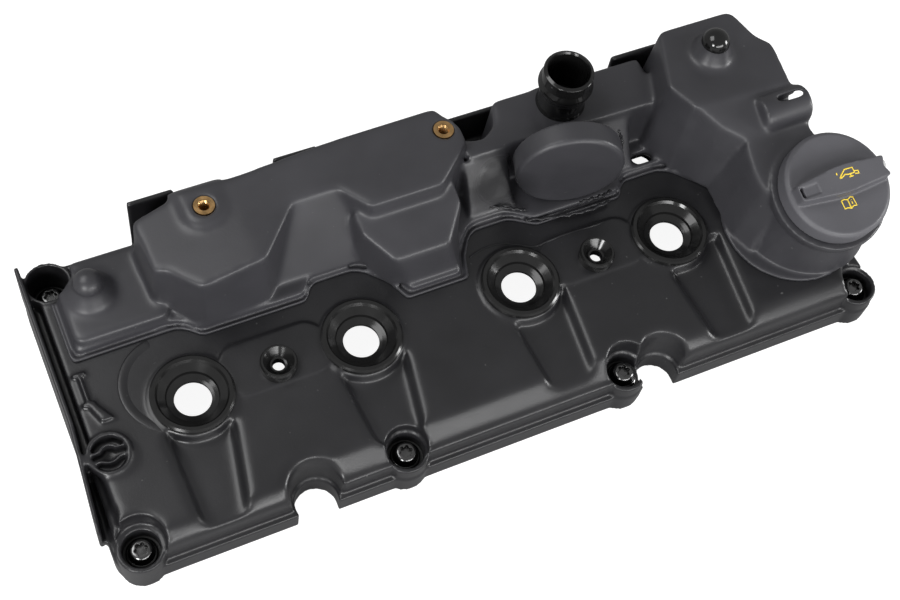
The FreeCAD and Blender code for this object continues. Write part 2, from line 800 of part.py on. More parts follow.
def seam_outline(inset):
    """The outline of the welded housing on the deck, moved inwards by inset."""
    first, second, third, fourth = [x for x, y in INJECTORS]
    near = S.seam_line + inset
    far = S.seam_reach + inset
    return [
        (S.seam_left + inset, far - 0.8, 3),
        (first + 6, far, 14),
        (first + 15.5, near, 8),
        (second - 18, near, 6),
        (second - 12.5, far, 8),
        (second + 12 + inset, far, 15),
        (second + 24.5 + inset, 24 + inset, 12),
        (S.lobe_left + inset, S.lobe_front + inset, 3),
        (S.lobe_right - inset, S.lobe_front + inset, 3),
        (third - 20 - inset, 24 + inset, 12),
        (third - 12, far, 11),
        (third + 10, far, 14),
        (third + 23, near, 9),
        (fourth - 15, near, 5),
        (fourth - 9.5, far, 8),
        (fourth + 16 + inset, far, 19),
        (fourth + 38 + inset, 13 + inset, 20),
        (fourth + 31.5 + inset, -12, 9),
        (S.neck_x - 7, -16),
        (S.seam_right - inset, -16),
        (S.seam_right - inset, S.seam_back - inset, 6),
        (S.seam_left + inset, S.seam_back - inset, 4),
    ]


def cap_place(body):
    """Stand a body on the collar of the filler neck, tilted as the neck is."""
    body.Placement = FreeCAD.Placement(
        FreeCAD.Vector(S.neck_x.value, S.neck_y.value, S.neck_height.value),
        FreeCAD.Rotation(FreeCAD.Vector(1, 0, 0), S.neck_tilt.value))
    bind(body, "Placement.Base.x", S.neck_x)
    bind(body, "Placement.Base.y", S.neck_y)
    bind(body, "Placement.Base.z", S.neck_height)
    bind(body, "Placement.Rotation.Angle", S.neck_tilt)


def drum_place(body):
    """Put a body at the middle of the drum's face, turned as the drum is."""
    body.Placement = FreeCAD.Placement(
        FreeCAD.Vector(S.drum_x.value, S.drum_front.value, S.drum_axis_height.value),
        FreeCAD.Rotation(FreeCAD.Vector(0, 0, 1), S.drum_yaw.value))
    bind(body, "Placement.Base.x", S.drum_x)
    bind(body, "Placement.Base.y", S.drum_front)
    bind(body, "Placement.Base.z", S.drum_axis_height)
    bind(body, "Placement.Rotation.Angle", S.drum_yaw)


def loft(body, name, lower, upper, lower_height, upper_height, hinge, tilt):
    """Join a flat outline at lower_height to one in a plane that rises to the back by tilt.

    The upper plane passes through the line y = hinge at upper_height, and the upper outline's
    second coordinate runs up that plane from there.
    """
    foot = new_sketch(body, name + "_foot", offset=lower_height)
    draw_outline(foot, lower)
    head = new_sketch(body, name + "_head", offset=upper_height, along=(0, hinge), turn=tilt,
                      axis=(1, 0, 0))
    draw_outline(head, upper)
    feature = body.newObject("PartDesign::AdditiveLoft", name)
    feature.Profile = foot
    feature.Sections = [head]
    feature.Ruled = True
    return feature


def plateau_outline():
    """The top edge of the left plateau, with the valley and the step in its front."""
    left = S.plateau_left
    back = S.plateau_back
    front = S.plateau_front
    return [
        (left, back - 5, 3), (left + 23.3, back), (-78.7, back), (-33.3, S.plateau_back_right - 1),
        (S.plateau_right - 8, S.plateau_back_right, 4),
        (S.plateau_right - 4, S.plateau_back_right - 9.5, 3),
        (S.plateau_right, S.plateau_back_right - 16, 2),
        (S.plateau_right, S.plateau_back_right - 24.5, 4), (S.step_right, S.step_back, 4),
        (S.step_left, S.step_back, 4), (S.valley_right, S.valley_back + 1.5, 4),
        (S.valley_left, S.valley_back, 4), (S.plateau_front_right, front + 1, 6),
        (S.plateau_front_left + 1, front - 1.5, 5), (left + 7, front + 13.5, 4),
        (left + 1.2, front + 15.5, 3)]


def hollow_outline():
    """The space inside the left plateau, a wall's thickness within its outline."""
    wall = S.housing_wall + 1.8
    back = S.plateau_back - wall
    return [
        (S.plateau_left + wall, back - 2), (-78.7, back), (-33.3, S.plateau_back_right - wall - 1),
        (S.plateau_right - 14, S.plateau_back_right - wall),
        (S.plateau_right - wall - 3, S.plateau_back_right - 14),
        (S.plateau_right - wall, S.plateau_back_right - 18),
        (S.plateau_right - wall, S.plateau_back_right - 22),
        (S.step_right - 1, S.step_back + wall), (S.step_left + 1, S.step_back + wall),
        (S.valley_right + 1, S.valley_back + wall + 2), (S.valley_left - 1, S.valley_back + wall + 2),
        (S.plateau_front_right - 2, S.plateau_front + wall + 1),
        (S.plateau_front_left, S.plateau_front + wall),
        (S.plateau_left + wall, S.plateau_front + 15)]


def build_left_blocks(body, foot):
    """The low pad, the plateau with its valley and the lobe in front of it."""
    raise_outline(body, "low_pad", rectangle(S.seam_left + 4.5, S.seam_reach + 4.6, S.low_pad_right,
                                             S.seam_back - 3, 5), foot - 1, S.low_pad_top, 10)
    raise_outline(body, "plateau", plateau_outline(), foot - 1, S.plateau_top, S.plateau_draft)
    run_along(body, "valley_ramp", [
        (S.valley_foot - 1.5, foot - 1), (S.valley_back, S.plateau_top),
        (S.valley_back + 6, S.plateau_top),
        (S.valley_back + 6, foot - 1)], S.valley_left - 21, S.valley_right + 14)
    fall = new_sketch(body, "plateau_slope_profile", "XZ_Plane", offset=-S.plateau_back_right)
    draw_outline(fall, [
        (S.plateau_left - 8, S.plateau_top + 1), (S.plateau_left - 8, S.plateau_top - S.slope_drop - 1),
        (S.slope_start, S.plateau_top), (S.slope_start, S.plateau_top + 1)])
    pocket(body, fall, S.plateau_back_right, "plateau_slope", reversed_way=True)
    raise_outline(body, "insert_boss", [
        (S.insert_left_x - S.insert_boss_radius, S.plateau_back - 1),
        (S.insert_left_x - S.insert_boss_radius, S.insert_left_y - S.insert_boss_radius,
         S.insert_boss_radius - 1),
        (S.insert_left_x + S.insert_boss_radius, S.insert_left_y - S.insert_boss_radius,
         S.insert_boss_radius - 1),
        (S.insert_left_x + S.insert_boss_radius, S.plateau_back - 1)],
        S.plateau_top - S.slope_drop, S.plateau_top + 1, S.insert_boss_draft)
    slope = math.degrees(math.atan2(S.plateau_top.value - S.lobe_top_front.value,
                                    S.step_back.value - S.lobe_edge.value + 30))
    loft(body, "lobe", [
        (S.lobe_left + 4.5, S.lobe_front + 5.7), (S.lobe_right - 4, S.lobe_front + 5.7), (25, 38),
        (25, 52), (-31, 52), (-31, 42), (-20, 22.5)],
        [(S.lobe_left - 4.5, 0), (S.lobe_right - 9.5, 0), (24.5, 18), (24.5, 30), (-31, 30), (-30, 18),
         (-19, 1)], foot - 1, S.lobe_top_front, S.lobe_edge, slope)


def build_middle_block(body, foot):
    """The block behind the regulator drum, with the sloped facets beside the drum."""
    raise_outline(body, "middle_block", [
        (S.middle_left + 5, S.middle_back, 4), (S.middle_left, S.middle_back - 14, 7),
        (S.middle_left - 9, S.middle_back - 20, 5), (S.middle_left - 20, S.middle_back - 17),
        (S.middle_left - 20, S.middle_front + 1.5),
        (S.middle_right, S.middle_front), (S.middle_right, S.middle_back)], foot - 1, S.middle_top,
        S.middle_draft)
    facet = [(S.facet_front, foot - 1), (S.middle_front + 1.5, S.middle_top - 2),
             (S.middle_front + 1.5, foot - 1)]
    run_along(body, "facet_left", facet, S.middle_left - 24, S.middle_left + 2)
    run_along(body, "facet_right", facet, S.drum_x + S.drum_radius, S.shoulder_left)


def build_right_block(body, foot):
    """The tall block at the back right, and the nose that runs from it to the filler neck."""
    raise_outline(body, "right_block", [
        (S.right_left, S.right_back, 5), (S.right_back_corner, S.right_back, 6),
        (S.right_edge - 6, 68, 8),
        (S.right_edge + 0.5, 60, 4), (S.right_edge - 3, S.right_front),
        (S.right_left - 4, S.right_front + 3),
        (S.right_waist, S.right_front + 19)], foot - 1, S.right_top, S.right_draft)
    run = S.right_front.value - S.nose_front.value
    slope = math.degrees(math.atan2(S.nose_drop.value, run))
    stretch = 1 / math.cos(math.radians(slope))
    loft(body, "nose", [
        (S.right_left - 9.5, S.right_front + 9), (S.right_edge - 1, S.right_front + 9),
        (S.right_edge + 1, S.nose_front), (S.saddle_left - 2, S.nose_front - 3),
        (S.right_left + 3, S.right_front - 14)],
        [(S.right_left - 3.5, 4.4), (S.right_edge - 4, 4.4), (S.saddle_right, (-run + 2) * stretch),
         (S.saddle_left + 4, -run * stretch), (S.saddle_left - 8, (-run + 10) * stretch)],
        foot - 1.5, S.right_top - 1.6, S.right_front, slope)
    build_saddle(body, foot)
    build_hose_clip(body, foot)


def build_saddle(body, foot):
    """The straight walls that join the nose to the filler neck, with a top that falls to the front."""
    tilt = math.radians(S.saddle_tilt.value)

    def up_plane(y):
        """Where the line at y lies on the sloping top."""
        return (size_of(y) - S.saddle_line) * (1 / math.cos(tilt))

    loft(body, "saddle", [
        (S.saddle_left - 9, S.nose_front + 2), (S.saddle_left - 9.5, 0), (S.saddle_left - 9, -14),
        (S.saddle_left - 4, -27), (S.saddle_right + 4.5, -27), (S.saddle_right + 4.5, S.nose_front + 4)],
        [(S.saddle_left + 1, up_plane(S.nose_front - 0.5)), (S.saddle_left - 0.5, up_plane(0)),
         (S.saddle_left + 0.5, up_plane(-11)), (S.saddle_left + 4, up_plane(-21)),
         (S.saddle_right, up_plane(-21)), (S.saddle_right, up_plane(S.nose_front + 2))],
        foot - 1.5, S.saddle_height, S.saddle_line, S.saddle_tilt.value)


def build_hose_clip(body, foot):
    """The half tube on the nose that carries a hose, open at its right end, with a slot for a tie."""
    outside = S.hose_clip_radius
    inside = outside - S.hose_clip_wall
    axis_height = S.hose_clip_top - outside
    shell = new_sketch(body, "hose_clip_profile", "YZ_Plane", offset=S.hose_clip_left)
    draw_outline(shell, [
        (S.hose_clip_y - outside, axis_height - 4), (S.hose_clip_y + outside, axis_height - 4),
        (S.hose_clip_y + outside, S.hose_clip_top, outside - 0.1),
        (S.hose_clip_y - outside, S.hose_clip_top, outside - 0.1)])
    pad(body, shell, S.hose_clip_right - S.hose_clip_left, "hose_clip")
    space = new_sketch(body, "hose_clip_space_profile", "YZ_Plane", offset=S.hose_clip_right + 1)
    draw_outline(space, [
        (S.hose_clip_y - inside, foot + 4), (S.hose_clip_y + inside, foot + 4),
        (S.hose_clip_y + inside, axis_height + inside, inside - 0.1),
        (S.hose_clip_y - inside, axis_height + inside, inside - 0.1)])
    pocket(body, space, S.hose_clip_right + 1 - S.hose_slot_right + 5, "hose_clip_space")
    sink_outline(body, "hose_clip_slot", rectangle(S.hose_slot_left, S.hose_clip_y - 0.5,
                                                   S.hose_slot_right, S.hose_clip_y + 3.5),
                 S.hose_clip_top, S.hose_clip_wall + 4)


def build_neck(body, foot):
    """The oil filler neck: a tilted cone with a collar, a lip for the cap and a bore."""
    raise_circles(body, "neck_base", [(S.neck_base_x, S.neck_base_y)], S.neck_base_radius,
                  S.deck_height, S.deck_height + S.weld_rim)
    collar = 5.0
    spin(body, "neck", [
        (0, -45), (S.neck_foot_radius, -45), (S.neck_foot_radius - 0.5, -34),
        (S.neck_ring_radius - 2, -collar - 2), (S.neck_ring_radius, -collar), (S.neck_ring_radius, 0),
        (S.neck_lip_radius, 0), (S.neck_lip_radius, S.neck_lip_height), (0, S.neck_lip_height)],
        role="YZ_Plane", offset=S.neck_x, along=(S.neck_y, S.neck_height), turn=S.neck_tilt)


def bore_neck(body):
    """Open the filler neck, leaving the ledge that holds the cap's two lugs."""
    groove = new_sketch(body, "neck_bore_profile", "YZ_Plane", offset=S.neck_x,
                        along=(S.neck_y, S.neck_height), turn=S.neck_tilt)
    ledge_top = 3.0
    draw_outline(groove, [
        (0, -60), (S.neck_bore, -60), (S.neck_bore, -0.5), (S.neck_ledge_radius, -0.5),
        (S.neck_ledge_radius, ledge_top), (S.neck_bore, ledge_top), (S.neck_bore, S.neck_lip_height + 1),
        (0, S.neck_lip_height + 1)])
    feature = body.newObject("PartDesign::Groove", "neck_bore")
    feature.Profile = groove
    feature.ReferenceAxis = (groove, ["V_Axis"])
    feature.Angle = 360
    entry = new_sketch(body, "lug_entry_plan", "XY_Plane", offset=S.neck_height,
                       along=(S.neck_x, S.neck_y),
                       turn=S.neck_tilt, axis=(1, 0, 0))
    draw_outline(entry, rectangle(-5.5, -S.neck_bore, 5.5, S.neck_bore))
    pocket(body, entry, ledge_top + 1.5, "lug_entry", reversed_way=True)


def build_knob(body, name, x, y, base, rise, foot_radius):
    """A round knob on a conical foot, moulded with the housing."""
    dome_foot = base + rise
    dome_top = dome_foot + S.knob_radius
    spin(body, name, [
        (0, base - 2), (foot_radius, base - 2), (foot_radius, base), (S.knob_radius + 0.4, dome_foot - 1),
        (S.knob_radius, dome_foot), (S.knob_radius, dome_top, S.knob_radius - 0.05), (0, dome_top)],
        offset=-y, along=(x, 0))


def build_housing():
    """The upper moulding, welded to the deck along its seam."""
    body = new_body("separator_housing")
    foot = S.deck_height + S.housing_foot
    rim = S.deck_height + S.weld_rim
    raise_outline(body, "seam_plate", seam_outline(0), S.deck_height, rim)
    groove = new_sketch(body, "weld_groove_plan", offset=rim)
    draw_outline(groove, seam_outline(S.weld_groove_start))
    pocket(body, groove, S.weld_rim - 0.6, "weld_groove")
    raise_outline(body, "foot", seam_outline(S.weld_groove_end), S.deck_height, foot)
    build_left_blocks(body, foot)
    build_middle_block(body, foot)
    build_neck(body, foot)
    build_right_block(body, foot)
    build_knob(body, "left_knob", S.left_knob_x, S.left_knob_y, S.low_pad_top, S.left_knob_rise,
               S.knob_foot)
    build_knob(body, "right_knob", S.right_knob_x, S.right_knob_y, S.right_top, S.right_knob_rise,
               S.knob_foot - 1)
    chamber = S.drum_radius - S.drum_wall - S.running_gap
    spin(body, "chamber", [
        (S.chamber_start, 0), (S.chamber_start, chamber), (S.chamber_back, chamber),
        (S.chamber_back + 3, chamber - 5), (S.chamber_end, 4), (S.chamber_end, 0)],
        role="YZ_Plane", axis="H_Axis", offset=S.drum_x, along=(S.drum_front, S.drum_axis_height),
        turn=S.drum_yaw, axis_turn=(0, 1, 0))
    below = new_sketch(body, "underside_plan", offset=S.deck_height)
    draw_outline(below, rectangle(-300, -200, 300, 200))
    pocket(body, below, 60, "underside")
    hollow = new_sketch(body, "plateau_hollow_plan", offset=S.deck_height)
    draw_outline(hollow, hollow_outline())
    pocket(body, hollow, S.plateau_top - S.slope_drop - S.housing_wall - S.deck_height, "plateau_hollow",
           reversed_way=True)
    raise_circles(body, "insert_bosses", [(S.insert_left_x, S.insert_left_y),
                                          (S.insert_right_x, S.insert_right_y)],
                  S.insert_radius + 2.5, S.plateau_top - S.insert_length - 2, S.plateau_top - 1)
    lower = new_sketch(body, "middle_hollow_plan", offset=S.deck_height)
    wall = S.housing_wall + 1.7
    draw_outline(lower, rectangle(S.middle_left + wall, S.middle_front + wall, S.middle_right - wall,
                                  S.middle_back - wall))
    pocket(body, lower, S.middle_top - S.housing_wall - S.deck_height, "middle_hollow", reversed_way=True)
    upper = new_sketch(body, "right_hollow_plan", offset=S.deck_height)
    draw_outline(upper, rectangle(S.right_left + 1, S.right_front + wall, S.right_back_corner - wall,
                                  S.right_back - wall))
    pocket(body, upper, S.right_top - S.housing_wall - S.deck_height, "right_hollow", reversed_way=True)
    duct = new_sketch(body, "chamber_bore_profile", "YZ_Plane", offset=S.drum_x,
                      along=(S.drum_front, S.drum_axis_height), turn=S.drum_yaw, axis=(0, 1, 0))
    bore = chamber - S.chamber_wall
    draw_outline(duct, [
        (S.chamber_start - 1, 0), (S.chamber_start - 1, bore), (S.chamber_back - 0.5, bore),
        (S.chamber_back + 1.5, bore - 5), (S.chamber_floor, S.spring_radius + 1.5), (S.chamber_floor, 0)])
    feature = body.newObject("PartDesign::Groove", "chamber_bore")
    feature.Profile = duct
    feature.ReferenceAxis = (duct, ["H_Axis"])
    feature.Angle = 360
    sink_circles(body, "spigot_hole", [(S.spigot_x, S.spigot_y)], S.spigot_bore, S.middle_top + 1,
                 S.housing_wall + 2)
    sink_circles(body, "insert_hole_left", [(S.insert_left_x, S.insert_left_y)],
                 S.insert_radius + S.running_gap / 2, S.plateau_top + 1, S.insert_length + 1)
    sink_circles(body, "insert_hole_right", [(S.insert_right_x, S.insert_right_y)],
                 S.insert_radius + S.running_gap / 2, S.plateau_top, S.insert_length)
    sink_circles(body, "back_bolt_clearance", [BACK_BOLT], S.tower_radius + 0.6, S.plateau_top,
                 S.plateau_top - S.deck_height)
    sink_outline(body, "slot_above", slot_outline(), foot + 0.5, foot + 0.5 - S.deck_height)
    bore_neck(body)
    return body


def build_injector_seal(name, x):
    """A rubber seal: a rounded lip on the deck and stepped cones down to the injector."""
    body = new_body(name)
    seat = S.deck_height + 1
    plug = S.seal_bore_radius - S.running_gap
    hole = S.seal_hole_radius
    lip = S.seal_lip_radius
    spin(body, name + "_ring", [
        (lip, seat), (lip, seat + 2.2), (lip - 1, seat + S.seal_lip_height - 0.4),
        (lip - 2.8, seat + S.seal_lip_height - 0.4), (lip - 3.8, seat + 1.6), (hole + 4.05, seat - 1),
        (hole + 3.45, seat - 2.4), (hole + 1.45, seat - 3.4), (hole, seat - 4),
        (hole, seat - S.seal_neck_depth + 0.5),
        (hole + 1.85, seat - S.seal_neck_depth), (plug, seat - S.seal_neck_depth), (plug, seat)],
        along=(x, 0))
    return body


def build_centre_seals():
    """Two rubber seals round the centre bolts."""
    body = new_body("centre_seals")
    seat = S.deck_height + S.strip_height
    top = seat + S.centre_seal_height
    edge = S.centre_seal_radius
    for index, (x, y) in enumerate(CENTRE_BOLTS):
        spin(body, "centre_seal_%d" % (index + 1), [
            (S.centre_bore_radius, seat), (edge, seat), (edge, top - 1.2), (edge - 0.7, top),
            (edge - 1.6, top),
            (S.centre_bore_radius + 1, seat + 1.4), (S.centre_bore_radius, seat + 1.2)], along=(x, 0))
    return body


def build_gasket():
    """The rubber gasket in the groove of the flange."""
    body = new_body("cover_gasket")
    sketch = new_sketch(body, "gasket_plan")
    draw_outline(sketch, gasket_loop(S.gasket_width / 2))
    draw_outline(sketch, gasket_loop(-S.gasket_width / 2))
    pad(body, sketch, S.gasket_height, "gasket_ring")
    return body


RIM = FRONT_BOLTS + [BACK_BOLT]


def build_rim_bolts():
    """The flange bolts with their washers."""
    body = new_body("rim_bolts")
    sleeve_top = S.socket_floor + S.grommet_rim + 0.4
    washer_top = sleeve_top + S.bolt_washer_height
    head_top = washer_top + S.bolt_head_height
    raise_circles(body, "bolt_shanks", RIM, S.bolt_radius, S.bolt_tip_gap, sleeve_top)
    raise_circles(body, "bolt_washers", RIM, S.bolt_washer_radius, sleeve_top, washer_top)
    raise_circles(body, "bolt_heads", RIM, S.bolt_head_radius, washer_top, head_top)
    sink_circles(body, "bolt_sockets", RIM, S.torx_radius, head_top, S.torx_depth)
    return body


def build_sleeves():
    """The steel sleeves that the bolts clamp."""
    body = new_body("bolt_sleeves")
    top = S.socket_floor + S.grommet_rim + 0.4
    raise_circles(body, "sleeves", RIM, S.sleeve_radius, 0.2, top)
    sink_circles(body, "sleeve_bores", RIM, S.sleeve_bore, top, top)
    return body


def build_grommets():
    """The rubber grommets between the sleeves and the flange."""
    body = new_body("bolt_grommets")
    top = S.socket_floor + S.grommet_rim
    raise_circles(body, "grommet_tubes", RIM, S.grommet_bore - 0.05, 1, S.socket_floor)
    raise_circles(body, "grommet_rims", RIM, S.grommet_bore + 2, S.socket_floor, top)
    sink_circles(body, "grommet_bores", RIM, S.sleeve_radius + S.running_gap, top, top)
    return body


def build_insert(name, x, y, top):
    """A brass threaded insert."""
    body = new_body(name)
    raise_circles(body, name + "_outside", [(x, y)], S.insert_radius, top - S.insert_length, top)
    sink_circles(body, name + "_bore", [(x, y)], S.insert_thread, top, S.insert_length)
    return body


def build_drum_cover():
    """The round cover of the pressure regulator."""
    body = new_body("diaphragm_cover")
    drum_place(body)
    inside = S.drum_radius - S.drum_wall
    spin(body, "drum_shell", [
        (0, 0), (0, S.drum_radius - S.drum_round), (S.drum_round, S.drum_radius),
        (S.drum_depth, S.drum_radius), (S.drum_depth, inside), (S.drum_wall, inside), (S.drum_wall, 0)],
        role="YZ_Plane", axis="H_Axis")
    spin(body, "clamp_ring", [
        (S.drum_wall, inside - 2), (S.drum_wall, inside),
        (S.chamber_start - S.diaphragm_thickness, inside),
        (S.chamber_start - S.diaphragm_thickness, inside - 2)], role="YZ_Plane", axis="H_Axis")
    return body


def build_diaphragm():
    """The rubber diaphragm with its rolled fold."""
    body = new_body("regulator_diaphragm")
    drum_place(body)
    back = S.chamber_start
    front = back - S.diaphragm_thickness
    edge = S.drum_radius - S.drum_wall - S.running_gap
    fold = S.plate_radius + 3
    bulge = 2.6
    spin(body, "diaphragm", [
        (front, 0), (front, fold), (front + bulge, fold + 1), (front + bulge, fold + 3),
        (front, fold + 4),
        (front, edge), (back, edge), (back, fold + 5), (back + bulge, fold + 4), (back + bulge, fold),
        (back, fold - 1), (back, 0)], role="YZ_Plane", axis="H_Axis")
    return body


def build_regulator_plate():
    """The plate behind the diaphragm, with the stem that closes the outlet."""
    body = new_body("regulator_plate")
    drum_place(body)
    front = S.chamber_start + 0.05
    back = front + S.plate_thickness
    spin(body, "plate", [
        (front, 0), (front, S.plate_radius), (back, S.plate_radius), (back, 4), (back + 6, 4),
        (back + 6, 0)],
        role="YZ_Plane", axis="H_Axis")
    return body


def build_spring():
    """The coil spring that holds the regulator plate open."""
    body = new_body("regulator_spring")
    drum_place(body)
    start = S.chamber_start + S.plate_thickness + 0.1 + S.spring_wire
    end = S.chamber_floor - S.spring_wire - 0.05
    sketch = new_sketch(body, "spring_section", "YZ_Plane")
    draw_circle(sketch, (start, S.spring_radius), S.spring_wire)
    coil = body.newObject("PartDesign::AdditiveHelix", "spring_coil")
    coil.Profile = sketch
    coil.ReferenceAxis = (sketch, ["H_Axis"])
    coil.Mode = 2
    set_length(coil, "Height", end - start)
    coil.Turns = S.spring_turns.value
    coil.setExpression("Turns", S.spring_turns.text)
    return body


def build_spigot():
    """The breather outlet, with a bead that holds the hose."""
    body = new_body("breather_spigot")
    base = S.middle_top
    top = S.spigot_top
    edge = S.spigot_radius
    spin(body, "spigot", [
        (S.spigot_bore, base), (S.spigot_waist + 0.8, base), (S.spigot_waist, base + 2),
        (S.spigot_waist, top - 16, 6), (S.spigot_bead, top - 10.5, 3), (edge, top - 7.2),
        (edge, top - 0.8, 0.6),
        (S.spigot_bore + 0.6, top), (S.spigot_bore, top - 1)],
        offset=-S.spigot_y, along=(S.spigot_x, 0))
    return body


def build_cap():
    """The oil filler cap with its raised grip."""
    body = new_body("filler_cap")
    cap_place(body)
    inner = S.neck_lip_radius + 0.4
    under = S.cap_height - S.cap_shell
    spin(body, "cap_shell_round", [
        (0, under), (inner, under), (inner, S.cap_gap), (S.cap_radius, S.cap_gap),
        (S.cap_radius, S.cap_height - 2), (S.cap_face_radius, S.cap_height), (0, S.cap_height)])
    half = S.grip_width / 2
    reach = S.cap_face_radius - 0.6
    grip_top = S.cap_height + S.grip_height
    raise_outline(body, "grip", [
        (-reach, -half + 2.6, 1.5), (0, -half - 0.4, 60), (reach, -half + 1.5, 1.2), (reach - 2.4, 0, 2),
        (reach, half - 1.5, 1.2), (0, half + 0.8, 60), (-reach, half - 2.6, 1.5)],
        S.cap_height - 1, grip_top, 4)
    sink_outline(body, "grip_window", rectangle(
        -reach + 0.8, -half + 4, -reach + 11.5, half - 4.2, 0.8), grip_top, S.grip_height - 1)
    raise_outline(body, "grip_block", rectangle(
        -reach + 2.6, -half + 4.8, -reach + 10.8, half - 5, 0.5), S.cap_height, grip_top - 0.8)
    return body


def build_cap_insert():
    """The white bayonet plug under the cap."""
    body = new_body("cap_insert")
    cap_place(body)
    under = S.cap_height - S.cap_shell
    bottom = -S.lug_height - 1.0
    raise_circles(body, "plug", [(0, 0)], S.insert_plug_radius, bottom, under)
    sketch = new_sketch(body, "lugs_plan", offset=bottom)
    for side in (-1, 1):
        draw_outline(sketch, rectangle(*sorted_pair(side * 12.0, side * S.lug_radius.value, -4.5, 4.5)))
    pad(body, sketch, S.lug_height, "lugs")
    sketch = new_sketch(body, "plug_hollow_plan", offset=bottom)
    draw_circle(sketch, (0, 0), S.insert_plug_radius - 2.5)
    pocket(body, sketch, under - bottom - 2, "plug_hollow", reversed_way=True)
    return body


def sorted_pair(first, second, low, high):
    """Corners of a rectangle that spans two x values given in either order."""
    return min(first, second), low, max(first, second), high


def build_cap_seal():
    """The rubber ring between the cap and the neck's lip."""
    body = new_body("filler_cap_seal")
    cap_place(body)
    low = S.neck_lip_height + 0.05
    sketch = new_sketch(body, "seal_plan", offset=low)
    draw_circle(sketch, (0, 0), S.neck_lip_radius - 0.5)
    draw_circle(sketch, (0, 0), S.neck_bore + 0.5)
    pad(body, sketch, S.cap_seal_height, "seal_ring")
    return body


def build_baffle():
    """The plate that closes the oil separator's chamber from below."""
    body = new_body("separator_baffle")
    outline = rectangle(S.baffle_left, S.baffle_front, S.baffle_right, S.baffle_back)
    raise_outline(body, "baffle_legs", outline, S.deck_height, S.baffle_height)
    sink = new_sketch(body, "baffle_space_plan", offset=S.deck_height)
    draw_outline(sink, rectangle(S.baffle_left + 2, S.baffle_front + 2, S.baffle_right - 2,
                                 S.baffle_back - 2))
    pocket(body, sink, S.baffle_height - S.baffle_thickness - S.deck_height, "baffle_space",
           reversed_way=True)
    sink_circles(body, "drain_holes", valve_places(), S.valve_stem + S.running_gap, S.baffle_height,
                 S.baffle_thickness)
    return body


def valve_places():
    line = S.baffle_front + S.valve_radius + 2.5
    return [(S.baffle_left + 10, line), (S.baffle_right - 10, line)]


def build_valves():
    """Two rubber drain valves that let separated oil back and close against gas."""
    body = new_body("drain_valves")
    plate_low = S.baffle_height - S.baffle_thickness
    for index, (x, y) in enumerate(valve_places()):
        spin(body, "drain_valve_%d" % (index + 1), [
            (0, plate_low - 2.2), (S.valve_radius - 2, plate_low - 1.6),
            (S.valve_radius, plate_low - 0.2),
            (S.valve_radius - 1, plate_low - 0.1), (S.valve_stem, plate_low - 0.9),
            (S.valve_stem, S.baffle_height),
            (S.valve_stem + 1, S.baffle_height + 0.4), (S.valve_stem, S.baffle_height + 2.4),
            (0, S.baffle_height + 2.6)], offset=-y, along=(x, 0))
    return body


def build_cyclones():
    """Two rows of small cyclones that throw the oil out of the breather gas."""
    body = new_body("cyclone_block")
    base = S.baffle_height
    reach = S.cyclone_radius + 1.3
    top = base + S.cyclone_length + 4
    middle_x = (S.baffle_left + S.baffle_right) / 2
    back = S.baffle_back - reach - 0.5
    front = back - S.cyclone_pitch
    left = middle_x - S.cyclone_pitch - reach
    right = middle_x + S.cyclone_pitch + reach
    raise_outline(body, "cyclone_plate", rectangle(left, front - reach, right, back + reach),
                  top - 3, top)
    web = (front + back) / 2
    raise_outline(body, "cyclone_foot", rectangle(left, web - 1, right, web + 1), base, top - 3)
    places = [(middle_x + S.cyclone_pitch * column, line) for line in (front, back)
              for column in (-1, 0, 1)]
    for index, (x, y) in enumerate(places):
        spin(body, "cyclone_%d" % (index + 1), [
            (0, base + 4), (S.cyclone_tip + 1.2, base + 4), (S.cyclone_radius + 1.2, top - 10),
            (S.cyclone_radius + 1.2, top), (0, top)], offset=-y, along=(x, 0))
    for index, (x, y) in enumerate(places):
        sketch = new_sketch(body, "cyclone_bore_%d_profile" % (index + 1), "XZ_Plane", offset=-y,
                            along=(x, 0))
        draw_outline(sketch, [
            (0, base + 3), (S.cyclone_tip, base + 3), (S.cyclone_tip, base + 4),
            (S.cyclone_radius, top - 10),
            (S.cyclone_radius, top + 1), (0, top + 1)])
        feature = body.newObject("PartDesign::Groove", "cyclone_bore_%d" % (index + 1))
        feature.Profile = sketch
        feature.ReferenceAxis = (sketch, ["V_Axis"])
        feature.Angle = 360
    return body


parts = [build_cover_body(), build_housing(), build_baffle(), build_cyclones(), build_valves(),
         build_drum_cover(), build_diaphragm(), build_regulator_plate(), build_spring(), build_spigot(),
         build_cap(), build_cap_insert(), build_cap_seal()]
for index, (x, y) in enumerate(INJECTORS):
    parts.append(build_injector_seal("injector_seal_%d" % (index + 1), x))
parts += [build_centre_seals(), build_gasket(), build_rim_bolts(), build_sleeves(), build_grommets(),
          build_insert("threaded_insert_left", S.insert_left_x, S.insert_left_y, S.plateau_top + 1),
          build_insert("threaded_insert_right", S.insert_right_x, S.insert_right_y, S.plateau_top)]
doc.recompute()

for item in doc.Objects:
    if "Invalid" in item.State or "Error" in item.State:
        raise RuntimeError("%s failed: %s" % (item.Name, item.State))
for part in parts:
    if part.Shape.isNull() or not part.Shape.isValid():
        raise RuntimeError("%s has no valid shape" % part.Label)
    print(part.Label, len(part.Shape.Solids), round(part.Shape.Volume / 1000, 2))

os.makedirs("parts", exist_ok=True)
for part in parts:
    part.Shape.exportStep("parts/%s.step" % part.Label)
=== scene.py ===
import json
import math

import bmesh
import bpy
import numpy
from mathutils import Matrix, Vector


